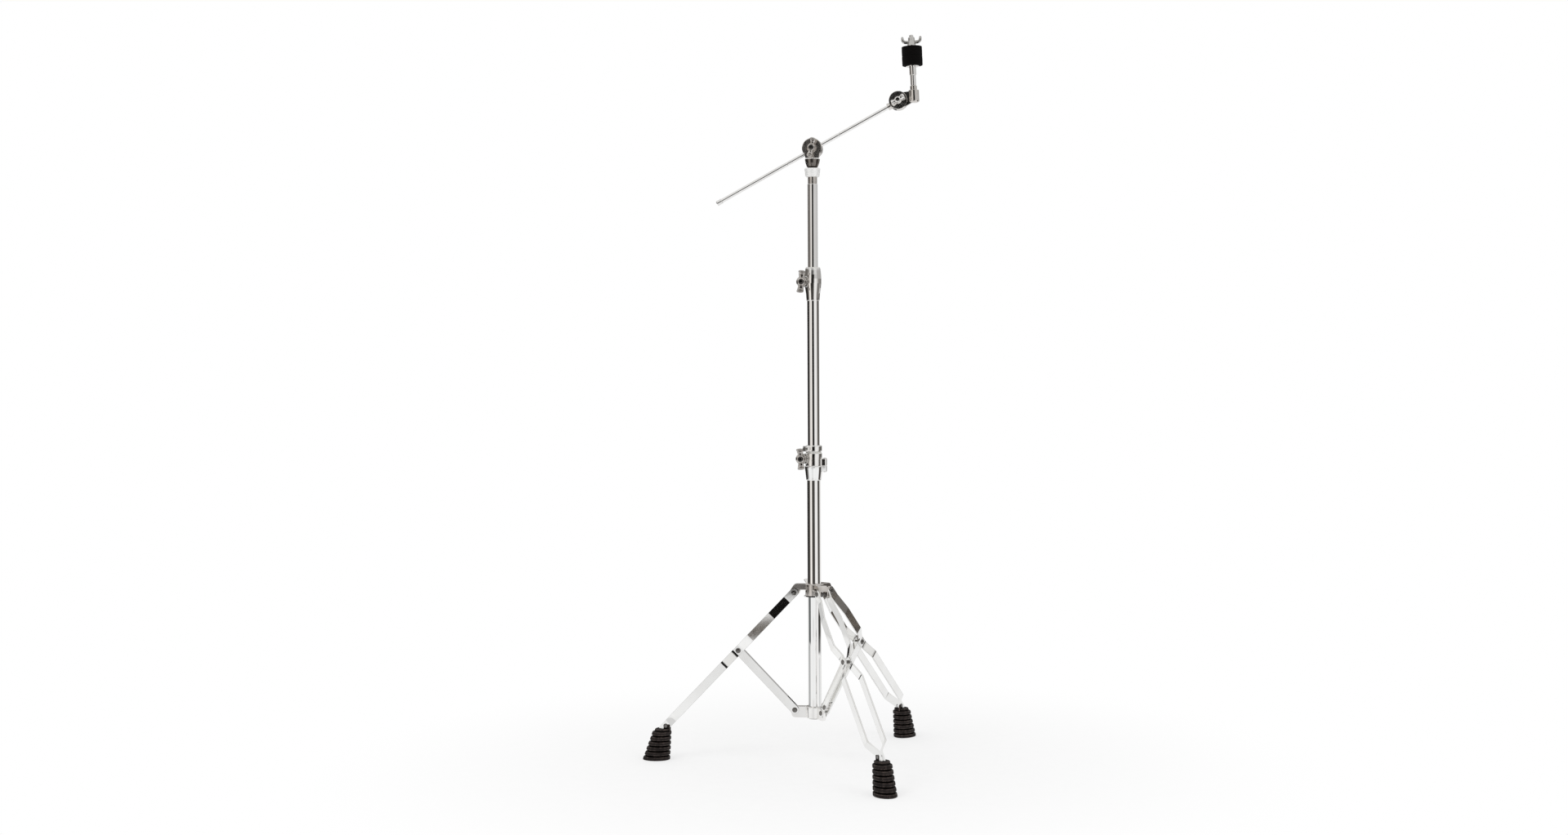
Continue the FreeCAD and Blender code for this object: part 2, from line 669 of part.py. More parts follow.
part = piece("boom_drum")
turn(part, [(0, 0.4), (dim.disc_r, 0.4), (dim.disc_r, 8.6), (17.9, 10.6), (17.9, 22.6),
            (15.4, 25.4), (0, 25.4)], side="XY")
bore(part, [(0, -1), (4.1, -1), (4.1, 9.0), (8.55, 9.0), (8.55, 27), (0, 27)], side="XY")
cut(part, "YZ", sleeve_hole)
teeth(part, 13.0, 20.0, 0.2, 1.2, count=32)
put(part, **on_boom)

part = piece("boom_eye_bolt")
turn(part, [(0, -28.5), (3.2, -28.5), (dim.bolt_r, -27.6), (dim.bolt_r, 9.1), (8.5, 9.1),
            (8.5, 24.2), (7.7, 25.0), (0, 25.0)], side="XY")
cut(part, "YZ", sleeve_hole)
put(part, **on_boom)

front_nut("boom_tilter", -9.05, -78, washer_r=8.2, z=dim.boom_z, flange_r=9.0, hub_r=7.0,
          hub_height=12.5, reach=18.6, tip_height=16.0, width=11.0)

# split nylon liner that lets the boom roll and slide
part = piece("boom_rod_sleeve")
pad(part, "YZ", (-17.0, 17.0), circle(dim.sleeve_r), circle(dim.rod_r + 0.05))
cut(part, "YZ", box(-0.8, 0.8, 3, 8))
put(part, **on_rod)

# the boom rod: turned stop grooves either side of the tilter; corners are (x, radius)
part = piece("boom_rod")
tail = dim.rod_tail
tip = dim.rod_reach - 4.6
rod = dim.rod_r
groove = rod - 0.45
turn(part, [(-tail, 0), (tip, 0), (tip, rod - 0.6), (tip - 0.6, rod),
            (58.4, rod), (57.8, groove), (55.6, groove), (55.0, rod),
            (-54.0, rod), (-54.6, groove), (-56.8, groove), (-57.4, rod), (-tail, rod)],
     axis="H_Axis")
put(part, **on_rod)

# cap on the lower end of the rod; corners are (x, radius)
part = piece("boom_end_cap")
turn(part, [(-tail - 3.5, 0), (-tail - 3.5, 3.7), (-tail - 2.4, 4.9), (-tail + 7.0, 4.9),
            (-tail + 7.6, 4.4), (-tail + 7.6, rod + 0.02), (-tail - 0.02, rod + 0.02),
            (-tail - 0.02, 0)], axis="H_Axis")
put(part, **on_rod)

# ------------------------------------------------------------- cymbal tilter

tilter_x = dim.rod_reach * cosine(dim.boom_angle)
tilter_z = dim.boom_z + dim.rod_reach * sine(dim.boom_angle)
on_tilter = dict(x=tilter_x, z=tilter_z, pitch=-dim.boom_angle)
tilter_hole = circle(3.1)

# back disc with the socket for the boom rod
part = piece("cymbal_tilter_hub")
turn(part, [(0, 11.0), (dim.cymbal_disc_r, 11.0), (dim.cymbal_disc_r, 22.8), (15.3, 25.0),
            (0, 25.0)], side="XY")
pad(part, "YZ", (-23.5, -10.0), circle(6.6, dim.rod_y, 0))
cut(part, "YZ", circle(dim.rod_r + 0.02, dim.rod_y, 0), span=(-30.0, -4.55))
cut(part, "XZ", tilter_hole)
teeth(part, 12.0, 18.5, 10.8, 11.8, count=28)
put(part, **on_tilter)

# hexagon-headed bolt, its head behind
part = piece("cymbal_tilter_bolt")
turn(part, [(0, -17.4), (2.4, -17.4), (2.97, -16.8), (2.97, 25.05), (0, 25.05)], side="XY")
pad(part, "XZ", (25.05, 29.0), [(5.75 * math.cos(math.radians(60 * k)),
                                 5.75 * math.sin(math.radians(60 * k))) for k in range(6)])
put(part, **on_tilter)

# arm: front disc, a web and the upright elbow that holds the post
ELBOW_R, ELBOW_LOW, ELBOW_HEIGHT = 9.8, -6.0, 23.6
NECK_R, NECK_TOP = 6.4, 26.0
DISC_FRONT = 0.8

part = piece("cymbal_arm")
elbow_x, arm_y = dim.elbow_x, dim.arm_y
pad(part, "XZ", (DISC_FRONT, 10.6), circle(dim.cymbal_disc_r))
pad(part, "XZ", (1.8, 9.8), [(2, -16.0), (11, -13.6), (22, -8.2), (28, -4.5), (28, 15),
                             (18, 15), (6, 14)])
elbow = sketch(part, "XY", [circle(ELBOW_R, elbow_x, arm_y)], offset=ELBOW_LOW)
extrude(part, "Pad", elbow, ELBOW_HEIGHT, symmetric=False)
pad(part, "XY", (17.0, NECK_TOP), circle(NECK_R, elbow_x, arm_y))
cut(part, "XY", circle(dim.post_r + 0.02, elbow_x, arm_y), span=(-2.0, 30.0))
cut(part, "XZ", tilter_hole)
teeth(part, 12.0, 18.5, 9.9, 11.0, count=28)
dress(part, "Fillet", lambda e: ring_edge(e, ELBOW_R, ELBOW_LOW), 3.6)
dress(part, "Chamfer", lambda e: ring_edge(e, ELBOW_R, ELBOW_LOW + ELBOW_HEIGHT)
      or ring_edge(e, NECK_R, NECK_TOP)
      or ring_edge(e, dim.cymbal_disc_r.value, DISC_FRONT, "y"), 0.8)
put(part, x=tilter_x, z=tilter_z, pitch=-dim.lean)

front_nut("cymbal_tilter", 0.75, -31, washer_r=6.2, x=tilter_x, z=tilter_z, hole=3.05,
          thick=1.3, flange_r=6.8, hub_r=5.2, hub_height=10.5, reach=14.2,
          tip_height=13.5, width=9.0)

# ---------------------------------------------------------------- cymbal seat


def on_post(part, lift=0):
    """Place a part that stands on the leaning post, at a height along the post."""
    lift = as_size(lift)
    put(part, x=tilter_x + elbow_x * cosine(dim.lean) - lift * sine(dim.lean), y=arm_y,
        z=tilter_z + elbow_x * sine(dim.lean) + lift * cosine(dim.lean), pitch=-dim.lean)


part = piece("cymbal_post")
turn(part, [(0, -1.95), (dim.post_r, -1.95), (dim.post_r, 121.4), (dim.post_r - 0.8, 122.2),
            (0, 122.2)])
on_post(part)

part = piece("cymbal_seat")
low = dim.felt_low
turn(part, [(4.02, low - 18), (5.6, low - 18), (6.3, low - 17.3), (6.3, low - 2.2),
            (13.0, low - 1.5), (13.0, low - 0.1), (4.02, low - 0.1)])
on_post(part)

part = piece("cymbal_sleeve")
sleeve_top = low + dim.felt_height * 2
pad(part, "XY", (low, sleeve_top), circle(dim.tube_r), circle(4.05))
on_post(part)

inner, outer = dim.tube_r + 0.1, dim.felt_r
for label, low in (("felt_lower", dim.felt_low),
                   ("felt_upper", dim.felt_low + dim.felt_height + 0.1)):
    part = piece(label)
    high = low + dim.felt_height
    turn(part, [(inner, low + 0.02), (outer - 1.2, low + 0.02), (outer, low + 1.2),
                (outer, high - 1.2), (outer - 1.2, high), (inner, high)])
    on_post(part)

washer_low = sleeve_top + 0.15
on_post(washer("cymbal_top_washer", 11.0, 4.1, WASHER_THICK), lift=washer_low)
part = wing_nut("cymbal_wing_nut", flange_r=8.4, hub_r=6.2, hub_height=17.0, reach=19.4,
                tip_height=18.2, width=7.0, hole=THREAD_R, low=3.0)
on_post(part, lift=washer_low + (WASHER_THICK + NUT_GAP))

# ------------------------------------------------------------ legs and braces

HALF_STRIP = dim.strip_thick / 2
NOSE = dim.strip_width / 2  # reach of a rounded end past its last station
NOSE_ROUND = NOSE - 0.1

# middle line of a strip: distance along the leg, distance from its middle plane
STRIP_PATH = [
    (-NOSE, dim.strip_y_hub), (20.0, dim.strip_y_hub),
    (60.0, dim.strip_y_wide), (122.0, dim.strip_y_wide),
    (146.0, dim.strip_y_pinch), (165.0, dim.strip_y_pinch),
    (191.0, dim.strip_y_low), (331.0, dim.strip_y_low),
    (351.5, dim.strip_y_end), (dim.strip_end + NOSE, dim.strip_y_end),
]
WIDE_BENDS, TIGHT_BENDS = range(1, 7), range(7, 9)  # stations of STRIP_PATH


def strip_faces():
    """Both faces of a strip, set off square to its path so that it keeps one thickness."""
    flat = [(as_size(along).value, side.value) for along, side in STRIP_PATH]
    normals = []
    for (x0, y0), (x1, y1) in zip(flat, flat[1:]):
        run = math.hypot(x1 - x0, y1 - y0)
        normals.append((-(y1 - y0) / run, (x1 - x0) / run))
    outer, inner = [], []
    for (along, side), before, after in zip(STRIP_PATH, normals[:1] + normals,
                                            normals + normals[-1:]):
        scale = 1 + before[0] * after[0] + before[1] * after[1]
        shift_x = (before[0] + after[0]) / scale
        shift_y = (before[1] + after[1]) / scale
        outer.append((as_size(along) + HALF_STRIP * shift_x, side + HALF_STRIP * shift_y))
        inner.append((as_size(along) - HALF_STRIP * shift_x, side - HALF_STRIP * shift_y))
    return outer, inner


def leg_strips(tag, seat):
    """A pair of bowed flat strips, the second mirrored from the first."""
    strip = new_body("strip_" + tag)
    outer, inner = strip_faces()
    pad(strip, "XY", (-NOSE, NOSE), outer + inner[::-1])
    for bends, radius in ((WIDE_BENDS, 14.0), (TIGHT_BENDS, 8.0)):
        places = [face[i][0].value for i in bends for face in (outer, inner)]
        dress(strip, "Fillet", lambda e: straight(e, Z) and at_any_x(e, places), radius)
    ends = (-NOSE.value, (dim.strip_end + NOSE).value)
    dress(strip, "Fillet", lambda e: straight(e, Y) and at_any_x(e, ends), NOSE_ROUND)
    for along, radius in ((0, dim.pin_r + dim.run_gap), (dim.link, dim.pin_r + 0.02),
                          (dim.end_rivet, 2.52)):
        cut(strip, "XZ", circle(radius, along, 0))
    mirror = doc.addObject("Part::Mirroring", "strip_%s_far" % tag)
    mirror.Source = strip
    mirror.Normal = (0, 1, 0)
    put(group("leg_" + tag, [strip, mirror]), **seat)


def leg_rivets(tag, seat):
    """Rivets through both strips, at the brace joint and above the foot."""
    rivets = []
    for name, along, strip_y, radius in (("joint", dim.link, dim.strip_y_pinch, dim.pin_r),
                                         ("end", dim.end_rivet, dim.strip_y_end, 2.5)):
        rivet = new_body("rivet_%s_%s" % (tag, name))
        headed_pin(rivet, as_size(radius), strip_y + HALF_STRIP + 0.03,
                   overhang=2.1, crown=1.9)
        put(rivet, x=along)
        rivets.append(rivet)
    put(group("leg_%s_rivets" % tag, rivets), **seat)


def brace(tag, yaw):
    """Channel brace, closed side up and in, forked where it straddles the lug."""
    part = piece("brace_" + tag)
    half = dim.brace_width / 2
    inside = half - dim.brace_wall
    end = dim.link + NOSE
    pad(part, "XZ", (-half, half), box(-NOSE, end, -NOSE, NOSE))
    dress(part, "Fillet", lambda e: straight(e, Y), NOSE_ROUND)
    cut(part, "YZ", box(-inside, inside, -NOSE + dim.brace_wall, NOSE + 2))
    cut(part, "XY", box(end - dim.fork_length, dim.link + 20, -inside, inside))
    cut(part, "XY", box(-20, 6, -inside, inside))
    cut(part, "XZ", circle(dim.pin_r + dim.run_gap))
    cut(part, "XZ", circle(dim.pin_r + 0.02, dim.link, 0))
    x, y = spun(yaw, dim.pivot_r + dim.link * sine(dim.leg_angle))
    joint = dict(x=x, y=y, z=dim.leg_z - dim.link * cosine(dim.leg_angle),
                 yaw=yaw, pitch=90 + dim.leg_angle)
    put(part, **joint)

    # rivet heads on the two fork cheeks
    stubs = []
    for i, sign in enumerate((1, -1)):
        stub = new_body("stub_%s_%d" % (tag, i))
        corners = [(0, inside), (dim.pin_r, inside), (dim.pin_r, half + 0.02),
                   (5.0, half + 0.02), (3.6, half + 1.7), (0, half + 1.9)]
        turn(stub, [(radius, sign * y) for radius, y in corners], side="XY")
        put(stub, x=dim.link)
        stubs.append(stub)
    put(group("brace_%s_rivet_ends" % tag, stubs), **joint)


def foot_oval(z, shrink=0.0):
    """Level oval through the foot, which leans in and tapers as it rises."""
    centre = Vector(dim.foot_x.value - 0.21 * z, 0, z)
    half_x = dim.foot_half_x.value - 0.155 * z - shrink
    half_y = dim.foot_half_y.value - 0.061 * z - shrink
    return Part.Wire([Part.Ellipse(centre, half_x, half_y).toShape()])


def loft(start, end):
    """Solid between two ovals, each given as (z, shrink)."""
    return Part.makeLoft([foot_oval(*start), foot_oval(*end)], True, True)


def foot_shape():
    """Ribbed rubber foot: a leaning stack of oval rings over a solid core."""
    ring_count = 6
    top = dim.foot_height.value
    pitch = top / ring_count
    shape = loft((0.0, 2.6), (top, 3.0))
    for i in range(ring_count):
        low = i * pitch
        high = low + pitch - 3.0
        if i == 0:
            start = [(0.0, 0.6), (0.8, 0.0)]
        else:
            start = [(low - 0.6, 2.6), (low + 0.4, 0.0)]
        stations = start + [(high, 0.0), (high + 0.9, 2.6)]
        for below, above in zip(stations, stations[1:]):
            shape = shape.fuse(loft(below, above))
    shape = shape.fuse(loft((top, 3.0), (top + 2.5, 6.5)))

    # the sleeve that grips the strips, along the leg's own slope
    slope = FreeCAD.Placement(Vector(dim.pivot_r.value, 0, dim.leg_z.value),
                              FreeCAD.Rotation(0, 90 - dim.leg_angle.value, 0))
    start, end = 364.6, 384.0
    sleeve = Part.makeBox(end - start, 11.4, 19.0, Vector(start, -5.7, -9.5))
    sleeve = sleeve.makeFillet(2.4, [e for e in sleeve.Edges if straight(e, X)])
    sleeve.Placement = slope
    # the slot the strip ends fill, with a little clearance
    slot_length = 40.0
    half_y = (dim.strip_y_end + HALF_STRIP + 0.1).value
    half_z = (NOSE + 0.15).value
    slot = Part.makeBox(slot_length, 2 * half_y, 2 * half_z,
                        Vector(dim.strip_end.value + half_z - slot_length, -half_y, -half_z))
    slot.Placement = slope
    shape = shape.fuse(sleeve).cut(slot).removeSplitter()
    return shape.Solids[0] if len(shape.Solids) == 1 else shape


rubber = foot_shape()
for tag, yaw in LEG_YAWS.items():
    x, y = spun(yaw, dim.pivot_r)
    seat = dict(x=x, y=y, z=dim.leg_z, yaw=yaw, pitch=90 - dim.leg_angle)
    leg_strips(tag, seat)
    leg_rivets(tag, seat)
    brace(tag, yaw)
    foot = doc.addObject("Part::Feature", "foot_" + tag)
    foot.Shape = rubber
    foot.Placement = FreeCAD.Placement(Vector(0, 0, 0), FreeCAD.Rotation(yaw, 0, 0))
    nodes.append(foot)

doc.recompute()

# ------------------------------------------------------------ checks and files


def idle_features(part):
    """Features of a body that add or remove no material."""
    found = []
    last = 0.0
    for item in part.Group:
        if item.TypeId == "Sketcher::SketchObject":
            continue
        volume = item.Shape.Volume
        adds = item.TypeId in ("PartDesign::Pad", "PartDesign::Revolution")
        cuts = item.TypeId in ("PartDesign::Pocket", "PartDesign::Groove")
        if (adds and volume <= last + 0.01) or (cuts and volume >= last - 0.01):
            found.append("%s: %s changes nothing" % (part.Label, item.Label))
        last = volume
    return found


bad = []
for item in doc.Objects:
    if "Invalid" in item.State or "Error" in item.State:
        bad.append("%s (%s): %s" % (item.Label, item.TypeId, item.State))
    if item.TypeId == "PartDesign::Body":
        bad.extend(idle_features(item))
for node in nodes:
    if node.Shape.isNull() or not node.Shape.isValid() or not node.Shape.Solids:
        bad.append("%s has no valid shape" % node.Label)
if bad:
    raise RuntimeError("\n".join(bad))
for node in nodes:
    node.Shape.exportStep("parts/%s.step" % node.Label)
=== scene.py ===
# A chromed boom cymbal stand. It stands on the floor (z = 0) with its tubes along +Z.
# The short boom rises toward +X from a tilter on top and carries the cymbal post. The nuts of
# the clamps and tilters face -Y, the side of the camera.
import json
import math

import bmesh
import bpy
from mathutils import Matrix, Vector, noise

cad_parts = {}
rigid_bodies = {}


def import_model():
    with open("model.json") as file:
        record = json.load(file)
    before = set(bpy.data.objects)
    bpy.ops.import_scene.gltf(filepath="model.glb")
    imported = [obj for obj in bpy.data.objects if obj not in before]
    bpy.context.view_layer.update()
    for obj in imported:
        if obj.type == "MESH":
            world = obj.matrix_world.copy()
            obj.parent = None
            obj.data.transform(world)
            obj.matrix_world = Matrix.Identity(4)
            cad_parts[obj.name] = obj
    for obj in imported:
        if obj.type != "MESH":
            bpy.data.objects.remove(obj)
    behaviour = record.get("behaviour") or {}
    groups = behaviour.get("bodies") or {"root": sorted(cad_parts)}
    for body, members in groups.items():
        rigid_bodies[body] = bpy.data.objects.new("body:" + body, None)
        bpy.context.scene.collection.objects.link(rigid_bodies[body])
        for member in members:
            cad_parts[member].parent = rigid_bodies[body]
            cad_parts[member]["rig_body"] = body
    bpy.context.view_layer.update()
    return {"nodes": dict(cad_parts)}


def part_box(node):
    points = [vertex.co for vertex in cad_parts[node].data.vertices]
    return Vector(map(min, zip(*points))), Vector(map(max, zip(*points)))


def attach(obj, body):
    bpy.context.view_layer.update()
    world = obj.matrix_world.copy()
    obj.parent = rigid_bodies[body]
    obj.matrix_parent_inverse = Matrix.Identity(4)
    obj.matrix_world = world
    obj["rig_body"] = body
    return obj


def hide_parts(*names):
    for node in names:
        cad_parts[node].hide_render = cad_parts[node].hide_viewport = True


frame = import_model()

NODES = frame["nodes"]

# ------------------------------------------------------------- driving sizes
# metres, unless a section says millimetres

MM = 0.001
TO_MM = 1000.0
MM_SCALE = Matrix.Scale(MM, 4)

BOOM_ANGLE = math.radians(28.5)
BOOM_LENGTH = 0.1858          # between the axes of the two tilters
BOOM_Z = 1.1669               # axis of the boom tilter, at x = 0
TILTER_X = BOOM_LENGTH * math.cos(BOOM_ANGLE)
TILTER_Z = BOOM_Z + BOOM_LENGTH * math.sin(BOOM_ANGLE)

POST_LEAN = math.radians(2.3)  # toward -X
POST_REACH = 0.0302           # from the cymbal tilter's axis
POST_Y = 0.006
POST = Matrix.Translation((
    TILTER_X + POST_REACH * math.cos(POST_LEAN), POST_Y,
    TILTER_Z + POST_REACH * math.sin(POST_LEAN))) @ Matrix.Rotation(-POST_LEAN, 4, "Y")

LOWER_X, LOWER_Z = -0.023, 0.577   # axes of the clamp bolts
UPPER_X, UPPER_Z = -0.020, 0.913

CAMERA_AZIMUTH = math.radians(6.5)
TOWARD = (math.sin(CAMERA_AZIMUTH), -math.cos(CAMERA_AZIMUTH), 0.0)   # to the camera
RIGHT = (math.cos(CAMERA_AZIMUTH), math.sin(CAMERA_AZIMUTH), 0.0)     # the camera's right

# ---------------------------------------------------------------- node trees


class Tree:
    """Short hand for building the node tree of a material or world."""

    def __init__(self, owner, output):
        owner.use_nodes = True
        self.tree = owner.node_tree
        self.tree.nodes.clear()
        self.output = self.new(output)

    def feed(self, socket, value):
        """Link a socket, or set a plain value."""
        if isinstance(value, bpy.types.NodeSocket):
            self.tree.links.new(value, socket)
        else:
            socket.default_value = value

    def fill(self, node, inputs):
        for key, value in inputs.items():
            self.feed(node.inputs[key], value)

    def new(self, kind, inputs=None, **settings):
        node = self.tree.nodes.new(kind)
        for key, value in settings.items():
            setattr(node, key, value)
        self.fill(node, inputs or {})
        return node

    def show(self, shader):
        self.feed(self.output.inputs[0], shader)

    def math(self, operation, a, b):
        return self.new("ShaderNodeMath", {0: a, 1: b}, operation=operation).outputs[0]

    def dot(self, a, b):
        node = self.new("ShaderNodeVectorMath", {0: a, 1: b}, operation="DOT_PRODUCT")
        return node.outputs["Value"]

    def remap(self, value, span, to=(0.0, 1.0), smooth=False):
        node = self.new("ShaderNodeMapRange",
                        {0: value, 1: span[0], 2: span[1], 3: to[0], 4: to[1]})
        if smooth:
            node.interpolation_type = "SMOOTHSTEP"
        return node.outputs[0]

    def window(self, value, span, soft):
        """One inside the span and nothing outside, with soft borders."""
        low, high = span
        return self.math(
            "MULTIPLY",
            self.remap(value, span=(low - soft, low + soft), smooth=True),
            self.remap(value, span=(high - soft, high + soft), to=(1.0, 0.0), smooth=True))

    def ramp(self, value, stops, interpolation="EASE"):
        node = self.new("ShaderNodeValToRGB", {0: value})
        ramp = node.color_ramp
        ramp.interpolation = interpolation
        while len(ramp.elements) > 1:
            ramp.elements.remove(ramp.elements[-1])
        ramp.elements[0].position, ramp.elements[0].color = stops[0]
        for position, colour in stops[1:]:
            ramp.elements.new(position).color = colour
        return node.outputs[0]

    def coords(self, scale=(1, 1, 1)):
        source = self.new("ShaderNodeTexCoord").outputs["Object"]
        return self.new("ShaderNodeMapping", {"Scale": scale, "Vector": source}).outputs[0]

    def height(self):
        return self.new("ShaderNodeSeparateXYZ", {0: self.coords()}).outputs[2]

    def noise(self, place, scale, detail=4.0, rough=0.55):
        node = self.new("ShaderNodeTexNoise", {
            "Scale": scale, "Detail": detail, "Roughness": rough, "Vector": place})
        return node.outputs["Fac"]

    def mix(self, share, a, b):
        node = self.new("ShaderNodeMix", data_type="RGBA")
        self.fill(node, {0: share, 6: a, 7: b})
        return node.outputs[2]

    def mix_shader(self, share, a, b):
        return self.new("ShaderNodeMixShader", {0: share, 1: a, 2: b}).outputs[0]

    def emission(self, colour):
        return self.new("ShaderNodeEmission", {"Color": colour}).outputs[0]

    def bump(self, height, strength, distance):
        return self.new("ShaderNodeBump", {
            "Strength": strength, "Distance": distance, "Height": height})


def tint(value, hue):
    return (value * hue[0], value * hue[1], value * hue[2], 1.0)


def surface(name):
    material = bpy.data.materials.new(name)
    tree = Tree(material, "ShaderNodeOutputMaterial")
    shader = tree.new("ShaderNodeBsdfPrincipled")
    tree.show(shader.outputs[0])
    return material, tree, shader


# -------------------------------------------------------------------- chrome


def wear_edges(tree, base, rough, smudge, amount):
    """Brighter and slightly rougher plating on the outer edges."""
    pointiness = tree.new("ShaderNodeNewGeometry").outputs["Pointiness"]
    worn = tree.remap(pointiness, span=(0.52, 0.60))
    worn = tree.math("MULTIPLY", worn, tree.remap(smudge, span=(0.4, 0.6), to=(0.2, 1.0)))
    bare = (0.93, 0.92, 0.90, 1.0)
    added_rough = 0.06
    base = tree.mix(tree.math("MULTIPLY", worn, amount), base, bare)
    return base, tree.math("ADD", rough, tree.math("MULTIPLY", worn, added_rough))


def paint_rim_reflection(tree, base, radius):
    """Painted reflection: the rounded-over edge of a sheared strip painted darker in its base
    colour, as if it mirrored the dark room.
    """
    soft = tree.new("ShaderNodeBevel", {"Radius": radius}, samples=4)
    face = tree.new("ShaderNodeNewGeometry")
    agreement = tree.dot(soft.outputs[0], face.outputs["True Normal"])
    share = tree.remap(agreement, span=(0.86, 0.985), to=(0.82, 0.0), smooth=True)
    # painted reflection: the colour of the dark room painted onto the rounded edge
    painted_dark_reflection = (0.24, 0.235, 0.225, 1.0)
    return tree.mix(share, base, painted_dark_reflection)


def chrome(name, shades, hues, rough, wave=0.0, grain=(1, 1, 1), edge=0.0, rim=0.0,
           painted_bands=(), painted_reflections=()):
    """Polished plating with fine polishing lines and faint smudges.

    shades, hues: brightness and hue, each (light, dark)
    wave: depth of the slow waviness of castings; grain: scaling of the polishing lines
    edge: share of wear on edges; rim: radius of the painted dark reflection on rounded edges
    painted_bands: bands of painted shade and painted light, in another colour and finish, (low
    z, high z, colour, added roughness, share of matt)
    painted_reflections: painted reflections, glowing as emission where the surface faces a
    given way and fixed to it, (low u, high u, low z, high z, colour, share), u being the part
    of the surface direction to the camera's right
    """
    material, tree, shader = surface(name)
    place = tree.coords()
    cloud = tree.noise(place, scale=34.0, detail=5.0)
    smudge = tree.noise(place, scale=140.0, detail=6.0, rough=0.62)
    fine = tree.noise(tree.coords(grain), scale=900.0, detail=3.0)
    light, dark = (tint(shade, hue) for shade, hue in zip(shades, hues))
    base = tree.mix(tree.remap(cloud, span=(0.35, 0.65)), dark, light)
    smudge_colour = (0.46, 0.43, 0.40, 1.0)
    base = tree.mix(tree.remap(smudge, span=(0.64, 0.80), to=(0.0, 0.06)), base, smudge_colour)
    gloss = tree.math(
        "ADD",
        tree.remap(smudge, span=(0.3, 0.75), to=(rough * 0.8, rough * 1.25)),
        tree.remap(fine, span=(0.3, 0.7), to=(0.0, rough * 0.25)))
    if edge:
        base, gloss = wear_edges(tree, base, gloss, smudge, edge)
    if rim:
        base = paint_rim_reflection(tree, base, rim)
    metal = 1.0
    fade = 0.0003   # border of a painted band
    # painted bands: over each band of height the colour, roughness and metal change, painting
    # shade or light there
    for low, high, colour, added_rough, matt in painted_bands:
        z = tree.height()
        inside = tree.math("MULTIPLY", tree.remap(z, span=(low - fade, low)),
                           tree.remap(z, span=(high, high + fade), to=(1.0, 0.0)))
        base = tree.mix(inside, base, colour)
        gloss = tree.math("ADD", gloss, tree.math("MULTIPLY", inside, added_rough))
        metal = tree.math("SUBTRACT", metal, tree.math("MULTIPLY", inside, matt))
    bump = tree.bump(fine, strength=0.05, distance=0.00002)
    if wave:
        lines = bump.outputs[0]
        slow_noise = tree.noise(place, scale=75.0, detail=2.0)
        bump = tree.bump(slow_noise, strength=0.25, distance=wave)
        tree.fill(bump, {"Normal": lines})
    tree.fill(shader, {"Base Color": base, "Roughness": gloss, "Metallic": metal,
                       "Normal": bump.outputs[0]})
    shown = shader.outputs[0]
    # painted reflections: emission mixed in where the surface faces the given way, so they stay
    # on the surface and do not move with the view
    for u_low, u_high, z_low, z_high, colour, share in painted_reflections:
        normal = tree.new("ShaderNodeNewGeometry").outputs["Normal"]
        mask = tree.math(
            "MULTIPLY",
            tree.window(tree.dot(normal, RIGHT), span=(u_low, u_high), soft=0.035),
            tree.window(tree.height(), span=(z_low, z_high), soft=0.006))
        painted_reflection = tree.emission(colour)
        shown = tree.mix_shader(tree.math("MULTIPLY", mask, share), shown, painted_reflection)
    tree.show(shown)
    return material


# hues of the light and the dark parts
COOL = ((1, 0.995, 0.985), (1, 0.99, 0.98))
CASTING = ((1, 0.992, 0.98), (1, 0.988, 0.97))
WARM = ((1, 0.955, 0.905), (1, 0.945, 0.89))

# tables of painted bands and painted reflections, with the columns named in chrome()
# boom tilter: a painted whitish, partly matt band below the cup; the cup painted dark, a
# painted dark reflection; a painted highlight in the gap under the disc
BASE_PAINTED_BANDS = [
    (BOOM_Z - 0.0545, BOOM_Z - 0.0382, (0.92, 0.92, 0.91, 1), 0.30, 0.6),
    (BOOM_Z - 0.0379, BOOM_Z - 0.0212, (0.20, 0.182, 0.166, 1), 0.02, 0.0),
    (BOOM_Z - 0.0209, BOOM_Z - 0.0188, (0.94, 0.93, 0.91, 1), 0.15, 0.5)]
# painted shadow: a dark line along the bottom of the leg collar, in the gap against the tube
COLLAR_PAINTED_SHADOW = [(0.3130, 0.3174, (0.02, 0.018, 0.016, 1), 0.25, 0.3)]
# painted reflections on the base tube: dark and light stripes by facing and height
BASE_TUBE_PAINTED_REFLECTIONS = [
    (-0.86, -0.56, 0.226, 0.318, (0.045, 0.055, 0.055, 1), 0.90),
    (-0.90, -0.64, 0.104, 0.226, (0.30, 0.31, 0.31, 1), 0.75),
    (0.56, 0.86, 0.208, 0.282, (0.03, 0.032, 0.030, 1), 0.85),
    (-0.50, 0.10, 0.12, 0.318, (0.86, 0.865, 0.86, 1), 0.80),
    (0.62, 0.80, 0.104, 0.20, (0.52, 0.53, 0.53, 1), 0.60)]
# painted reflections on the leg strips: light near the feet, light grey over the upper strips
# that face left
STRIP_PAINTED_REFLECTIONS = [
    (-1.3, 1.3, 0.058, 0.086, (0.80, 0.80, 0.79, 1), 0.80),
    (-1.2, -0.70, 0.252, 0.310, (0.66, 0.66, 0.65, 1), 0.85)]
# painted reflections on the lower clamp's cup: a white middle with dark edges
CUP_PAINTED_REFLECTIONS = [
    (-0.58, 0.56, 0.5375, 0.5610, (0.88, 0.885, 0.88, 1), 0.85),
    (-0.84, -0.62, 0.5375, 0.5610, (0.03, 0.028, 0.026, 1), 0.80),
    (0.62, 0.84, 0.5375, 0.5610, (0.05, 0.047, 0.044, 1), 0.80)]
# painted reflections on the upper clamp: a dark middle stripe and a grey right edge
BARREL_PAINTED_REFLECTIONS = [
    (-0.22, 0.05, 0.900, 0.9370, (0.025, 0.023, 0.021, 1), 0.80),
    (0.46, 0.90, 0.880, 0.9370, (0.27, 0.255, 0.24, 1), 0.60)]

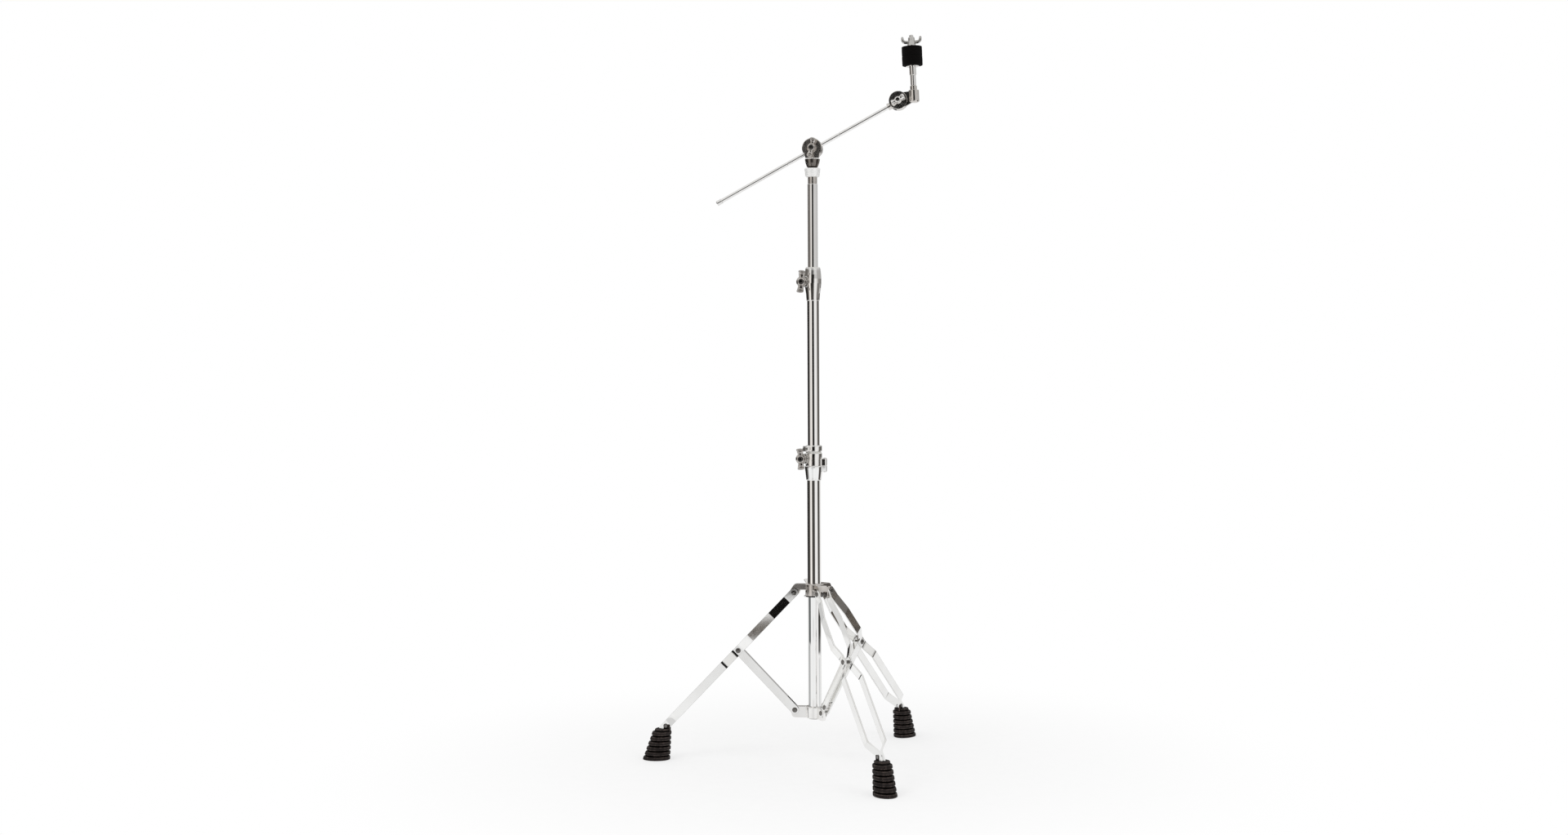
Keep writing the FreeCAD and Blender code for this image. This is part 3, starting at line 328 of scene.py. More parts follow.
DRAWN = dict(shades=(0.93, 0.91), hues=COOL, rough=0.022, grain=(1, 1, 0.012))
CAST = dict(shades=(0.92, 0.87), hues=CASTING, rough=0.040, wave=0.00010, edge=0.5)
DULL = dict(shades=(0.70, 0.58), hues=WARM, wave=0.00010, edge=0.6)

MATERIALS = {
    "tube": chrome("chrome_tube", **DRAWN),
    "lowtube": chrome("chrome_base_tube", **DRAWN, painted_reflections=BASE_TUBE_PAINTED_REFLECTIONS),
    "rod": chrome("chrome_rod", shades=(0.95, 0.86), hues=COOL, rough=0.11,
                  grain=(0.2, 1, 0.2)),
    "cast": chrome("chrome_cast", **CAST),
    "disc": chrome("chrome_disc", **DULL, rough=0.24),
    "base": chrome("chrome_tilter", **DULL, rough=0.16, painted_bands=BASE_PAINTED_BANDS),
    "arm": chrome("chrome_arm", shades=(0.74, 0.62), rough=0.10, wave=0.00010, edge=0.6,
                  hues=((1, 0.965, 0.925), (1, 0.955, 0.91))),
    "strip": chrome("chrome_strip", shades=(0.96, 0.92), rough=0.055, wave=0.00005,
                    hues=((1, 1, 0.99), (1, 0.995, 0.98)), rim=0.0013, painted_reflections=STRIP_PAINTED_REFLECTIONS),
    "cup": chrome("chrome_lower_clamp", **CAST, painted_reflections=CUP_PAINTED_REFLECTIONS),
    "barrel": chrome("chrome_upper_clamp", **CAST, painted_reflections=BARREL_PAINTED_REFLECTIONS),
    "nut": chrome("chrome_nut", shades=(0.58, 0.40), rough=0.11, wave=0.00010, edge=0.7,
                  hues=((1, 0.955, 0.91), (1, 0.945, 0.89))),
    "topnut": chrome("chrome_top_nut", shades=(0.62, 0.50), rough=0.12, wave=0.00010,
                     edge=0.7, hues=((1, 0.985, 0.96), (1, 0.98, 0.95))),
    "collar": chrome("chrome_collar", shades=(0.72, 0.50), rough=0.070, wave=0.00010,
                     edge=0.5, hues=((1, 0.955, 0.915), (1, 0.945, 0.89)),
                     painted_bands=COLLAR_PAINTED_SHADOW),
    "rivet": chrome("plated_rivet", shades=(0.17, 0.10), rough=0.14, wave=0.00005, edge=0.3,
                    hues=((1, 0.95, 0.90), (1, 0.94, 0.88))),
    "plated": chrome("plated_hardware", shades=(0.80, 0.62), rough=0.14, wave=0.00005,
                     edge=0.5, hues=((1, 0.985, 0.96), (1, 0.975, 0.94))),
}

# -------------------------------------------------------- rubber, felt, nylon


def rubber(name):
    """Moulded rubber: brownish black; the ribs lightened, part dusting and part painted
    highlight; the grooves painted near black, a painted shade.
    """
    material, tree, shader = surface(name)
    place = tree.coords()
    cloud = tree.noise(place, scale=60.0, detail=5.0)
    grain = tree.noise(place, scale=2600.0, detail=3.0, rough=0.7)
    patchy = tree.noise(tree.coords((1, 1, 0.35)), scale=190.0, rough=0.6)
    pits = tree.new("ShaderNodeTexVoronoi", {"Scale": 1500.0, "Vector": place})
    pointiness = tree.new("ShaderNodeNewGeometry").outputs["Pointiness"]
    dark, light = (0.0050, 0.0032, 0.0029, 1), (0.0105, 0.0074, 0.0066, 1)
    painted_groove_shade, dusty_highlight = (0.0012, 0.0009, 0.0008, 1), (0.085, 0.064, 0.057, 1)
    base = tree.mix(tree.remap(cloud, span=(0.35, 0.7)), dark, light)
    # painted shade: the concave grooves painted near black
    base = tree.mix(tree.remap(pointiness, span=(0.490, 0.503)), painted_groove_shade, base)
    # the convex rib edges lightened in patches, part dusting and part painted highlight
    dust_and_highlight = tree.math("MULTIPLY", tree.remap(pointiness, span=(0.501, 0.516), to=(0.0, 0.80)),
                     tree.remap(patchy, span=(0.42, 0.62), to=(0.15, 1.0)))
    pit_share = 0.6
    relief = tree.math("ADD", grain, tree.math("MULTIPLY", pits.outputs["Distance"], pit_share))
    tree.fill(shader, {
        "Base Color": tree.mix(dust_and_highlight, base, dusty_highlight),
        "Roughness": tree.remap(grain, span=(0.3, 0.7), to=(0.46, 0.70)),
        "Specular IOR Level": tree.remap(pointiness, span=(0.485, 0.505), to=(0.02, 0.18)),
        "Normal": tree.bump(relief, strength=0.35, distance=0.00012).outputs[0]})
    return material


def felt(name):
    """Pressed wool: matted fibres in two directions, pills and a soft sheen."""
    material, tree, shader = surface(name)
    place = tree.coords()
    upright = tree.noise(tree.coords((1, 1, 0.18)), scale=1800.0, rough=0.7)
    level = tree.noise(tree.coords((0.25, 0.25, 1)), scale=2300.0, rough=0.7)
    pill = tree.noise(place, scale=330.0, detail=5.0, rough=0.6)
    fibre = tree.math("MAXIMUM", upright, level)
    dark, light = (0.0014, 0.0011, 0.0011, 1), (0.0060, 0.0050, 0.0050, 1)
    pilled = (0.011, 0.0095, 0.0092, 1)
    base = tree.mix(tree.remap(fibre, span=(0.45, 0.75)), dark, light)
    base = tree.mix(tree.remap(pill, span=(0.60, 0.74), to=(0.0, 0.5)), base, pilled)
    pill_share = 0.8
    relief = tree.math("ADD", fibre, tree.math("MULTIPLY", pill, pill_share))
    tree.fill(shader, {"Roughness": 0.96, "Specular IOR Level": 0.04,
                       "Sheen Weight": 0.02, "Sheen Roughness": 0.6})
    tree.fill(shader, {
        "Base Color": base,
        "Roughness": tree.remap(fibre, span=(0.4, 0.8), to=(0.90, 1.0)),
        "Normal": tree.bump(relief, strength=0.8, distance=0.0004).outputs[0]})
    return material


def nylon(name, dark, light):
    material, tree, shader = surface(name)
    place = tree.coords()
    cloud = tree.noise(place, scale=90.0)
    fine = tree.noise(place, scale=1600.0, detail=3.0)
    tree.fill(shader, {
        "Base Color": tree.mix(tree.remap(cloud, span=(0.35, 0.65)), dark, light),
        "Roughness": tree.remap(fine, span=(0.3, 0.7), to=(0.32, 0.52)),
        "Normal": tree.bump(fine, strength=0.2, distance=0.00008).outputs[0]})
    return material


MATERIALS["rubber"] = rubber("rubber")
MATERIALS["felt"] = felt("felt")
MATERIALS["nylon"] = nylon("nylon", dark=(0.62, 0.61, 0.57, 1), light=(0.74, 0.73, 0.69, 1))
MATERIALS["black_nylon"] = nylon("black_nylon", dark=(0.012, 0.012, 0.012, 1),
                                 light=(0.026, 0.025, 0.024, 1))

# ----------------------------------------------------- looks of the CAD nodes

NODE_LOOKS = {
    "tube": ("middle_tube", "upper_tube"),
    "lowtube": ("base_tube",),
    "rod": ("boom_rod", "boom_end_cap", "cymbal_post"),
    "felt": ("felt_lower", "felt_upper"),
    "nylon": ("lower_bush", "upper_bush", "boom_rod_sleeve"),
    "black_nylon": ("cymbal_sleeve", "base_tube_plug"),
    "strip": ("leg_a", "leg_b", "leg_c", "brace_a", "brace_b", "brace_c"),
    "rivet": ("leg_collar_pins", "brace_collar_pins", "brace_collar_rivet", "boom_eye_bolt",
              "cymbal_tilter_bolt"),
    "cast": ("lower_clamp_hinge_pin",),
    "base": ("boom_tilter_base",),
    "disc": ("boom_drum",),
    "arm": ("cymbal_arm", "cymbal_tilter_hub"),
}


def look_of(node):
    for look, names in NODE_LOOKS.items():
        if node in names:
            return look
    if node.startswith("foot_"):
        return "rubber"
    if node.endswith(("_rivets", "_rivet_ends")):
        return "rivet"
    if "wing" not in node and any(w in node for w in ("rivet", "pin", "washer", "bolt")):
        return "plated"
    return "cast"


def paint(thing, look):
    thing.data.materials.clear()
    thing.data.materials.append(MATERIALS[look])
    for polygon in thing.data.polygons:
        polygon.material_index = 0


for node_name, node_object in NODES.items():
    paint(node_object, look_of(node_name))

# ---------------------------------------------------------------- mesh tools


def add_object(name, data):
    thing = bpy.data.objects.new(name, data)
    bpy.context.scene.collection.objects.link(thing)
    return thing


def loft(rings, wrap=False):
    """A closed skin over rings of equal point counts: capped, or wrapped last to first."""
    bm = bmesh.new()
    rows = [[bm.verts.new(point) for point in ring] for ring in rings]
    count = len(rings[0])
    following = rows[1:] + rows[:1] if wrap else rows[1:]
    for row, after in zip(rows, following):
        for j in range(count):
            k = (j + 1) % count
            bm.faces.new((row[j], row[k], after[k], after[j]))
    if not wrap:
        for row, flip in ((rows[0], True), (rows[-1], False)):
            centre = bm.verts.new(sum((v.co for v in row), Vector()) / count)
            for j in range(count):
                a, b = row[j], row[(j + 1) % count]
                bm.faces.new((b, a, centre) if flip else (a, b, centre))
    bmesh.ops.recalc_face_normals(bm, faces=bm.faces)
    return bm


def circle(radius, z, sides):
    angles = [2 * math.pi * j / sides for j in range(sides)]
    return [(radius * math.cos(angle), radius * math.sin(angle), z) for angle in angles]


def turned(profile, sides=40):
    """A solid turned about +Z from (radius, height) points, closed flat at both ends."""
    axis = 1e-5
    profile = [(axis, profile[0][1])] + profile + [(axis, profile[-1][1])]
    return loft([circle(radius, z, sides) for radius, z in profile])


def finish_mesh(name, bm, matrix=None, sharp_angle=40.0):
    mesh = bpy.data.meshes.new(name)
    if matrix is not None:
        bm.transform(matrix)
    bmesh.ops.recalc_face_normals(bm, faces=bm.faces)
    bm.to_mesh(mesh)
    bm.free()
    mesh.shade_smooth()
    if sharp_angle:
        mesh.set_sharp_from_angle(angle=math.radians(sharp_angle))
    return mesh


def piece(name, mesh, body, look, node):
    """An object that rides on a body and stands in for one CAD node."""
    thing = add_object(name, mesh)
    paint(thing, look)
    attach(thing, body)
    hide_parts(node)


def applied(thing):
    """The mesh of an object with its modifiers applied; the object goes."""
    bpy.context.view_layer.update()
    graph = bpy.context.evaluated_depsgraph_get()
    mesh = bpy.data.meshes.new_from_object(thing.evaluated_get(graph), depsgraph=graph)
    bpy.data.objects.remove(thing)
    return mesh


def melted(name, meshes, voxel, rounds):
    """Closed meshes cast into one skin with soft fillets: voxel remesh, then smoothing."""
    bm = bmesh.new()
    for mesh in meshes:
        bm.from_mesh(mesh)
    raw = bpy.data.meshes.new(name + "_raw")
    bm.to_mesh(raw)
    bm.free()
    thing = add_object(name + "_raw", raw)
    remesh = thing.modifiers.new("remesh", "REMESH")
    remesh.mode = "VOXEL"
    remesh.voxel_size = voxel
    remesh.adaptivity = 0.0
    remesh.use_smooth_shade = True
    smooth = thing.modifiers.new("smooth", "SMOOTH")
    smooth.factor = 0.5
    smooth.iterations = rounds
    mesh = applied(thing)
    mesh.shade_smooth()
    return mesh


def aligned(x_axis, z_axis, origin):
    """The frame with these two axes and origin."""
    x_axis, z_axis = Vector(x_axis), Vector(z_axis)
    matrix = Matrix((x_axis, z_axis.cross(x_axis), z_axis)).transposed().to_4x4()
    matrix.translation = Vector(origin)
    return matrix


def facing(x, y, z, turn):
    """A frame with +Z along -Y and +X turned by `turn` degrees from +X toward +Z."""
    angle = math.radians(turn)
    return aligned((math.cos(angle), 0, math.sin(angle)), (0, -1, 0), (x, y, z))


# ----------------------------------------------------- wing nuts, millimetres


def lobe_path(keys, steps=26):
    """A smooth run through the keys (x, z, half thickness, half width), then a rounded end."""
    points = [Vector(key) for key in keys]
    points = [points[0] * 2 - points[1]] + points + [points[-1] * 2 - points[-2]]
    segments = len(points) - 3
    path = []
    for i in range(steps + 1):
        t = i / steps * segments
        first = min(int(t), segments - 1)
        t -= first
        a, b, c, d = points[first:first + 4]
        path.append(0.5 * (2 * b + (c - a) * t + (2 * a - 5 * b + 4 * c - d) * t * t
                           + (3 * b - a - 3 * c + d) * t ** 3))
    last, before = path[-1], path[-2]
    run = Vector((last[0] - before[0], last[1] - before[1])).normalized()
    cap = last[2] * 0.95
    for i in range(1, 8):
        angle = math.pi / 2 * i / 7.4
        drop = 1 - math.cos(angle)
        path.append(Vector((
            last[0] + run.x * cap * math.sin(angle), last[1] + run.y * cap * math.sin(angle),
            last[2] * math.cos(angle), last[3] * (1 - 0.42 * drop - 0.3 * drop ** 2))))
    return path


def lobe_rings(keys, sides=28, power=0.80):
    """Squarish ovals (squarer with a lower power) square to the path of the keys."""
    path = lobe_path(keys)
    rings = []
    for i, (x, z, half_thick, half_width) in enumerate(path):
        after = path[min(i + 1, len(path) - 1)]
        before = path[max(i - 1, 0)]
        run = Vector((after[0] - before[0], after[1] - before[1])).normalized()
        ring = []
        for j in range(sides):
            angle = 2 * math.pi * j / sides
            ca, sa = math.cos(angle), math.sin(angle)
            across = half_width * math.copysign(abs(ca) ** power, ca)
            out = half_thick * math.copysign(abs(sa) ** power, sa)
            ring.append((x + -run.y * out, across, z + run.x * out))
        rings.append(ring)
    return rings


def open_hole(mesh, hole, top):
    """A threaded hole cut after melting, so that its rim stays crisp."""
    nut = add_object("nut", mesh)
    cutter = add_object("cutter", finish_mesh("cutter", turned([
        (hole + 0.9, -2), (hole + 0.9, -0.2), (hole, 0.7), (hole, top - 0.9),
        (hole + 1.0, top + 0.1), (hole + 1.0, top + 3)], 48)))
    cut = nut.modifiers.new("cut", "BOOLEAN")
    cut.operation, cut.object, cut.solver = "DIFFERENCE", cutter, "EXACT"
    opened = applied(nut)
    bpy.data.objects.remove(cutter)
    return opened


def wing_nut(name, node, body, matrix, flange, hub, top, reach, tip, width,
             hole=None, low=2.6, shank=None, look="cast", voxel=0.42):
    """A cast butterfly nut: +Z the way it unscrews, wings along X with ears turned up.

    flange, hub, hole: radii; top: height of the hub; reach, tip: extent in X and height of
    the ears; width: of the wings; low: their lower side; shank: z of a bolt's end
    """
    parts = [finish_mesh("hub", turned([
        (flange - 0.5, 0), (flange, 0.5), (flange, 1.3), (flange - 0.5, 1.9),
        (hub + 0.8, 3.4), (hub + 0.2, top * 0.55), (hub - 0.2, top - 1.8),
        (hub - 1.0, top - 0.4), (hub - 2.2, top)], 48))]
    half = width / 2
    # x, z, half thickness, half width
    keys = [
        (hub - 3.5, low + 3.7, 3.5, half * 0.66),
        (hub + 1.0, low + 3.8, 3.4, half * 0.74),
        (reach - 6.4, low + 4.7, 3.1, half * 0.93),
        (reach - 3.5, low + 7.0, 2.9, half * 0.99),
        (reach - 2.6, (low + 7.0 + tip - 3.0) / 2 + 0.6, 2.5, half),
        (reach - 2.4, tip - 2.4, 2.3, half * 0.90)]
    for side in (1, -1):
        rings = [[(side * x, y, z) for x, y, z in ring] for ring in lobe_rings(keys)]
        parts.append(finish_mesh("wing", loft(rings)))
    if shank is not None:
        parts.append(finish_mesh("shank", turned(
            [(3.4, shank), (3.97, shank + 0.7), (3.97, 1.0)])))
    mesh = melted(name, parts, voxel, rounds=6)
    if hole:
        mesh = open_hole(mesh, hole, top)
    mesh.transform(matrix @ MM_SCALE)
    mesh.shade_smooth()
    mesh.set_sharp_from_angle(angle=math.radians(42))
    piece(name, mesh, body, look, node)


HOLE, SMALL_HOLE = 4.05, 3.05
CLAMP_NUT = dict(flange=10.2, hub=7.4, top=12.5, tip=16.0, width=13.0, hole=HOLE, look="nut")
FELT_Z = 63.8                 # underside of the felts, up the post
NUT_SEAT = 36.15              # seat of the top nut's washer above FELT_Z
NUT_LIFT = 0.00155            # metres, the nut above that seat
BOLT_ANGLE = math.radians(120)
BOLT_OUT = (math.cos(BOLT_ANGLE), math.sin(BOLT_ANGLE), 0)
BOLT_R, BOLT_Z = 0.0242, 0.327    # metres, flange of the wing bolt in the leg collar

wing_nut("wing_nut_lower", "lower_clamp_wing_nut", "lower_nut",
         facing(LOWER_X, -0.0111, LOWER_Z, turn=94), reach=20.4, **CLAMP_NUT)
wing_nut("wing_nut_upper", "upper_clamp_wing_nut", "upper_nut",
         facing(UPPER_X, -0.0136, UPPER_Z, turn=84), reach=21.5, **CLAMP_NUT)
wing_nut("wing_nut_boom", "boom_tilter_wing_nut", "boom_nut",
         facing(0, -0.0106, BOOM_Z, turn=78), flange=9.0, hub=7.0, top=12.5, reach=18.6,
         tip=16.0, width=11.0, hole=HOLE, look="nut")
wing_nut("wing_nut_cymbal_tilter", "cymbal_tilter_wing_nut", "cymbal_tilter_nut",
         facing(TILTER_X, -0.0006, TILTER_Z, turn=31), flange=6.8, hub=5.2, top=10.5,
         reach=14.2, tip=13.5, width=9.0, hole=SMALL_HOLE, voxel=0.34)
wing_nut("wing_nut_top", "cymbal_wing_nut", "cymbal_nut",
         POST @ Matrix.Translation((0, 0, (FELT_Z + NUT_SEAT) * MM + NUT_LIFT)), flange=8.4,
         hub=6.2, top=17.0, reach=19.4, tip=18.2, width=7.0, hole=HOLE, low=3.0, voxel=0.36,
         look="topnut")
wing_nut("wing_bolt_leg_collar", "leg_collar_wing_bolt", "leg_collar_bolt",
         aligned((0, 0, -1), BOLT_OUT, (BOLT_R * BOLT_OUT[0], BOLT_R * BOLT_OUT[1], BOLT_Z)),
         flange=8.0, hub=6.6, top=12.0, reach=18.0, tip=16.5, width=11.0, shank=-11.0)

# --------------------------------------------------------- felts, millimetres

FELT_HEIGHT, FELT_BORE = 18.0, 6.15
WOOL = (0.7, 2.1, 5)          # falloff, lacunarity and octaves of the matted surface


def felt_profile(low, radius):
    """Flat faces, rounded rims and a slightly swollen side; (radius, height) all round."""
    bore, height = FELT_BORE, FELT_HEIGHT
    edge, inset, swell = 1.15, 0.06, 0.12
    bottom, top = low + inset, low + height - inset
    face = radius - edge - bore - 0.5
    quarter = [math.pi / 2 * i / 6 for i in range(7)]
    points = [(bore, low + 0.5), (bore + 0.5, low + 0.08)]
    points += [(bore + 0.5 + face * i / 8, bottom) for i in range(9)]
    points += [(radius - edge + edge * math.sin(a), bottom + edge * (1 - math.cos(a)))
               for a in quarter[1:]]
    points += [(radius + swell * math.sin(math.pi * i / 12),
                bottom + edge + (height - 2 * edge - 2 * inset) * i / 12)
               for i in range(1, 12)]
    points += [(radius - edge + edge * math.cos(a), top - edge + edge * math.sin(a))
               for a in quarter]
    points += [(radius - edge - face * i / 8, top) for i in range(1, 9)]
    points += [(bore, low + height - 0.5 - (height - 1.0) * i / 8) for i in range(8)]
    return points


def felt_disc(place, low, radius, seed):
    """One pressed felt washer with a matted surface; its bore stays smooth."""
    bm = loft([circle(r, z, 120) for r, z in felt_profile(low, radius)], wrap=True)
    bm.normal_update()
    for v in bm.verts:
        if math.hypot(v.co.x, v.co.y) < FELT_BORE + 0.7:
            continue
        broad = noise.fractal(v.co * 0.22 + Vector((seed, seed * 2, 0)), *WOOL) * 0.16
        fine = noise.noise(v.co * 1.3 + Vector((0, seed, 0))) * 0.07
        on_side = abs(v.normal.z) < 0.7
        v.co += v.normal * (broad + fine) * (1.0 if on_side else 0.25)
    mesh = finish_mesh("felt_pad_" + place, bm, POST @ MM_SCALE, sharp_angle=None)
    piece("felt_pad_" + place, mesh, "felts", "felt", "felt_" + place)


felt_disc("lower", low=FELT_Z, radius=19.25, seed=3.1)
felt_disc("upper", low=FELT_Z + FELT_HEIGHT + 0.1, radius=19.2, seed=11.7)

# ------------------------------------------------------------------- castings

# CAD node, new name, look
CASTINGS = (
    ("leg_collar", "leg_collar_casting", "collar"),
    ("brace_collar", "brace_collar_casting", "cast"),
    ("lower_clamp_body", "lower_clamp_casting", "cup"),
    ("lower_clamp_jaw", "lower_jaw_casting", "cast"),
    ("memory_lock", "memory_lock_casting", "cast"),
    ("upper_clamp_body", "upper_clamp_casting", "barrel"))


def casting(node, name, look):
    """The CAD casting with the rounded edges and soft inner corners of poured metal."""
    source = NODES[node]
    mesh = source.data.copy()
    mesh.transform(Matrix.Scale(TO_MM, 4))
    mesh = melted(name, [mesh], voxel=0.5, rounds=3)
    mesh.transform(MM_SCALE)
    piece(name, mesh, source["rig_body"], look, node)


for row in CASTINGS:
    casting(*row)

# --------------------------------------------------- rubber feet, millimetres
# drawn on a leg that runs out along +X, then turned to each leg

LEG_SLOPE = math.radians(43.95)
NECK_FRAME = (Matrix.Translation((38.0, 0, 323.4))
              @ Matrix.Rotation(math.pi / 2 - LEG_SLOPE, 4, "Y"))
NECK_HALF_Y, NECK_HALF_Z = 5.75, 8.75
LUG_X, LUG_HALF_X = 285.2, 6.4
RIBS, RIB_PITCH, RIB_HEIGHT = 6, 9.5, 6.4
MOULD = (0.8, 2.1, 4)         # falloff, lacunarity and octaves of the uneven skin

# (height, inset) from the named level
SOLE = ((0.0, 5.0), (0.0, 1.5), (0.12, 0.75), (0.45, 0.22), (1.0, 0.0))
RIB_UNDERSIDE = ((-1.5, 3.4), (-0.7, 3.2), (-0.25, 2.2), (0.0, 1.1), (0.35, 0.35),
                 (0.9, 0.05), (1.6, 0.0))
RIB_MIDDLE = (3.2, -0.12)
RIB_TOP = ((-1.0, 0.0), (-0.35, 0.2), (0.0, 0.7), (0.3, 1.6), (0.6, 2.7), (1.1, 3.3))
CROWN = ((56.0, 3.2), (57.6, 3.0), (58.8, 3.1), (59.3, 3.6), (59.5, 4.8), (59.5, 8.0))
# (distance along the leg, inset) and (height, inset)
NECK = ((366.4, 2.6), (366.45, 1.4), (366.8, 0.45), (367.5, 0.0), (372.0, 0.0), (384.0, 0.0))
LUG = ((50.0, 0.0), (60.0, 0.0), (66.6, 0.0), (67.3, 0.35), (67.7, 1.1), (67.8, 2.2))


def rib_oval(z, inset, sides=112):
    """An oval of the stack, which tapers and leans inward as it rises."""
    centre = 306.5 - 0.21 * z
    half_x = 26.5 - 0.155 * z - inset
    half_y = 20.8 - 0.061 * z - inset
    angles = [2 * math.pi * j / sides for j in range(sides)]
    return [(centre + half_x * math.cos(a), half_y * math.sin(a), z) for a in angles]


def foot_ribs(seed):
    levels = list(SOLE)
    for i in range(RIBS):
        low = i * RIB_PITCH
        high = low + RIB_HEIGHT
        if i:
            levels += [(low + rise, inset) for rise, inset in RIB_UNDERSIDE]
        levels.append((low + RIB_MIDDLE[0], RIB_MIDDLE[1]))
        levels += [(high + rise, inset) for rise, inset in RIB_TOP]
    levels += CROWN
    bm = loft([rib_oval(z, inset) for z, inset in levels])
    bm.normal_update()
    for v in bm.verts:
        if 0.3 < v.co.z < 59.4:
            v.co += v.normal * noise.fractal(v.co * 0.11 + Vector((seed, 0, 0)), *MOULD) * 0.22
    return finish_mesh("ribs", bm)


def rounded_box(half_u, half_v, radius, u_centre=0.0):
    """The (u, v) points of a rectangle with rounded corners."""
    points = []
    for side_u, side_v, start in ((1, 1, 0), (-1, 1, 90), (-1, -1, 180), (1, -1, 270)):
        for j in range(7):
            angle = math.radians(start + 90 * j / 6)
            points.append((
                u_centre + side_u * (half_u - radius) + radius * math.cos(angle),
                side_v * (half_v - radius) + radius * math.sin(angle)))
    return points


def foot_neck():
    """A rounded box along the leg's own slope, cut level above the ribs."""
    rings = []
    for distance, inset in NECK:
        outline = rounded_box(NECK_HALF_Y - inset, NECK_HALF_Z - inset,
                              max(0.6, 1.6 - inset * 0.3))
        rings.append([(distance, y, z) for y, z in outline])
    neck = finish_mesh("neck", loft(rings), NECK_FRAME)
    for v in neck.vertices:
        if v.co.x > 290.0 and v.co.z > 60.2:
            v.co.z = 60.2
    return neck


def foot_lug():
    """The lug that stands up on the inner side of the neck."""
    rings = []
    for z, inset in LUG:
        outline = rounded_box(LUG_HALF_X - inset, NECK_HALF_Y - inset,
                              max(0.6, 1.8 - inset * 0.4), LUG_X)
        rings.append([(x, y, z) for x, y in outline])
    return finish_mesh("lug", loft(rings))


def foot(leg, yaw):
    """A leaning stack of soft-edged ribs with a neck that grips the leg."""
    mesh = melted("foot", [foot_ribs(yaw), foot_neck(), foot_lug()], voxel=0.5, rounds=1)
    mesh.transform(Matrix.Rotation(math.radians(yaw), 4, "Z") @ MM_SCALE)
    piece("rubber_foot_" + leg, mesh, "leg_" + leg, "rubber", "foot_" + leg)


for leg_tag, leg_yaw in (("a", 180), ("b", 300), ("c", 60)):
    foot(leg_tag, leg_yaw)

# ------------------------------------------- threaded fasteners, millimetres


def thread(radius, low, high, pitch=1.25, sides=36, chamfer=0.8):
    """A screw thread as one skin: rings whose radius follows the helix."""
    depth = pitch * 0.50
    count = max(2, int((high - low) / (pitch / 7.0)))
    rings = []
    for i in range(count + 1):
        z = low + (high - low) * i / count
        chamfered = radius - (chamfer - min(high - z, chamfer))
        ring = []
        for j in range(sides):
            angle = 2 * math.pi * j / sides
            phase = (z / pitch - angle / (2 * math.pi)) % 1.0
            crest = 1 - abs(2 * phase - 1)
            crest = min(1.0, max(0.0, (crest - 0.10) / 0.75))
            r = min(radius - depth * (1 - crest), chamfered)
            ring.append((r * math.cos(angle), r * math.sin(angle), z))
        rings.append(ring)
    return loft(rings)


def bolt_head(low, high):
    """A square head with cut corners and softened ends."""
    wide, narrow = 6.2, 3.6
    outline = [(-wide, -narrow), (-narrow, -wide), (narrow, -wide), (wide, -narrow),
               (wide, narrow), (narrow, wide), (-narrow, wide), (-wide, narrow)]
    levels = ((low, 0.97), (low + 0.25, 1.0), (high - 0.9, 1.0), (high - 0.2, 0.95),
              (high, 0.86))
    return loft([[(x * scale, y * scale, z) for x, y in outline] for z, scale in levels])


def threaded(name, node, matrix, parts, look):
    """A fastener made of closed skins about its own +Z."""
    bm = bmesh.new()
    for part in parts:
        mesh = finish_mesh("part", part)
        bm.from_mesh(mesh)
        bpy.data.meshes.remove(mesh)
    mesh = finish_mesh(name, bm, matrix @ MM_SCALE, sharp_angle=38.0)
    piece(name, mesh, NODES[node]["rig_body"], look, node)


HEAD_HEIGHT = 5.0


def clamp_bolt(place, x, z, head, tip):
    """A clamp bolt along -Y, from the inner face of its head to its tip."""
    threaded("clamp_bolt_" + place, place + "_clamp_bolt", facing(x, 0, z, turn=0), [
        bolt_head(head - HEAD_HEIGHT, head),
        turned([(3.95, head - 0.1), (3.95, 6.0), (3.6, 6.4), (3.6, 8.0)]),
        thread(3.95, 6.2, tip)], "rivet")


clamp_bolt("lower", LOWER_X, LOWER_Z, head=-9.55, tip=26.5)
bolt_low, bolt_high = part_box("upper_clamp_bolt")
clamp_bolt("upper", UPPER_X, UPPER_Z, head=-(bolt_high.y * TO_MM - HEAD_HEIGHT),
           tip=-bolt_low.y * TO_MM)
threaded("cymbal_post_turned", "cymbal_post", POST, [
    turned([(3.98, -1.95), (3.98, 90.0), (3.5, 90.6), (3.5, 92.0)], 48),
    turned([(5.0, 26.6), (5.2, 26.8), (5.2, 33.0), (5.2, 39.0), (5.2, 45.2), (5.0, 45.4)], 64),
    thread(3.98, 90.2, 122.2)], "rod")

# ---------------------------------------------------------------------- floor

# (bearing from the camera's side in degrees, brightness) of the mirrored floor
FOLDS = ((-180, 0.84), (-62, 0.93), (-40, 0.88), (-22, 0.78), (-4, 0.90), (14, 0.92),
         (30, 0.74), (44, 0.92), (62, 0.94), (130, 0.86), (180, 0.84))
# (noise level, colour) of the dim patches
BLOTCHES = [(0.38, (0.010, 0.008, 0.007, 1)), (0.48, (0.045, 0.038, 0.032, 1)),
            (0.55, (0.17, 0.145, 0.12, 1)), (0.63, (0.40, 0.36, 0.32, 1))]


def bearing_stop(degrees):
    return (degrees + 180) / 360


def bearing_of(tree, source):
    """The angle about Z: 0 toward the camera, growing to its right."""
    return tree.math("ARCTAN2", tree.dot(source, RIGHT), tree.dot(source, TOWARD))


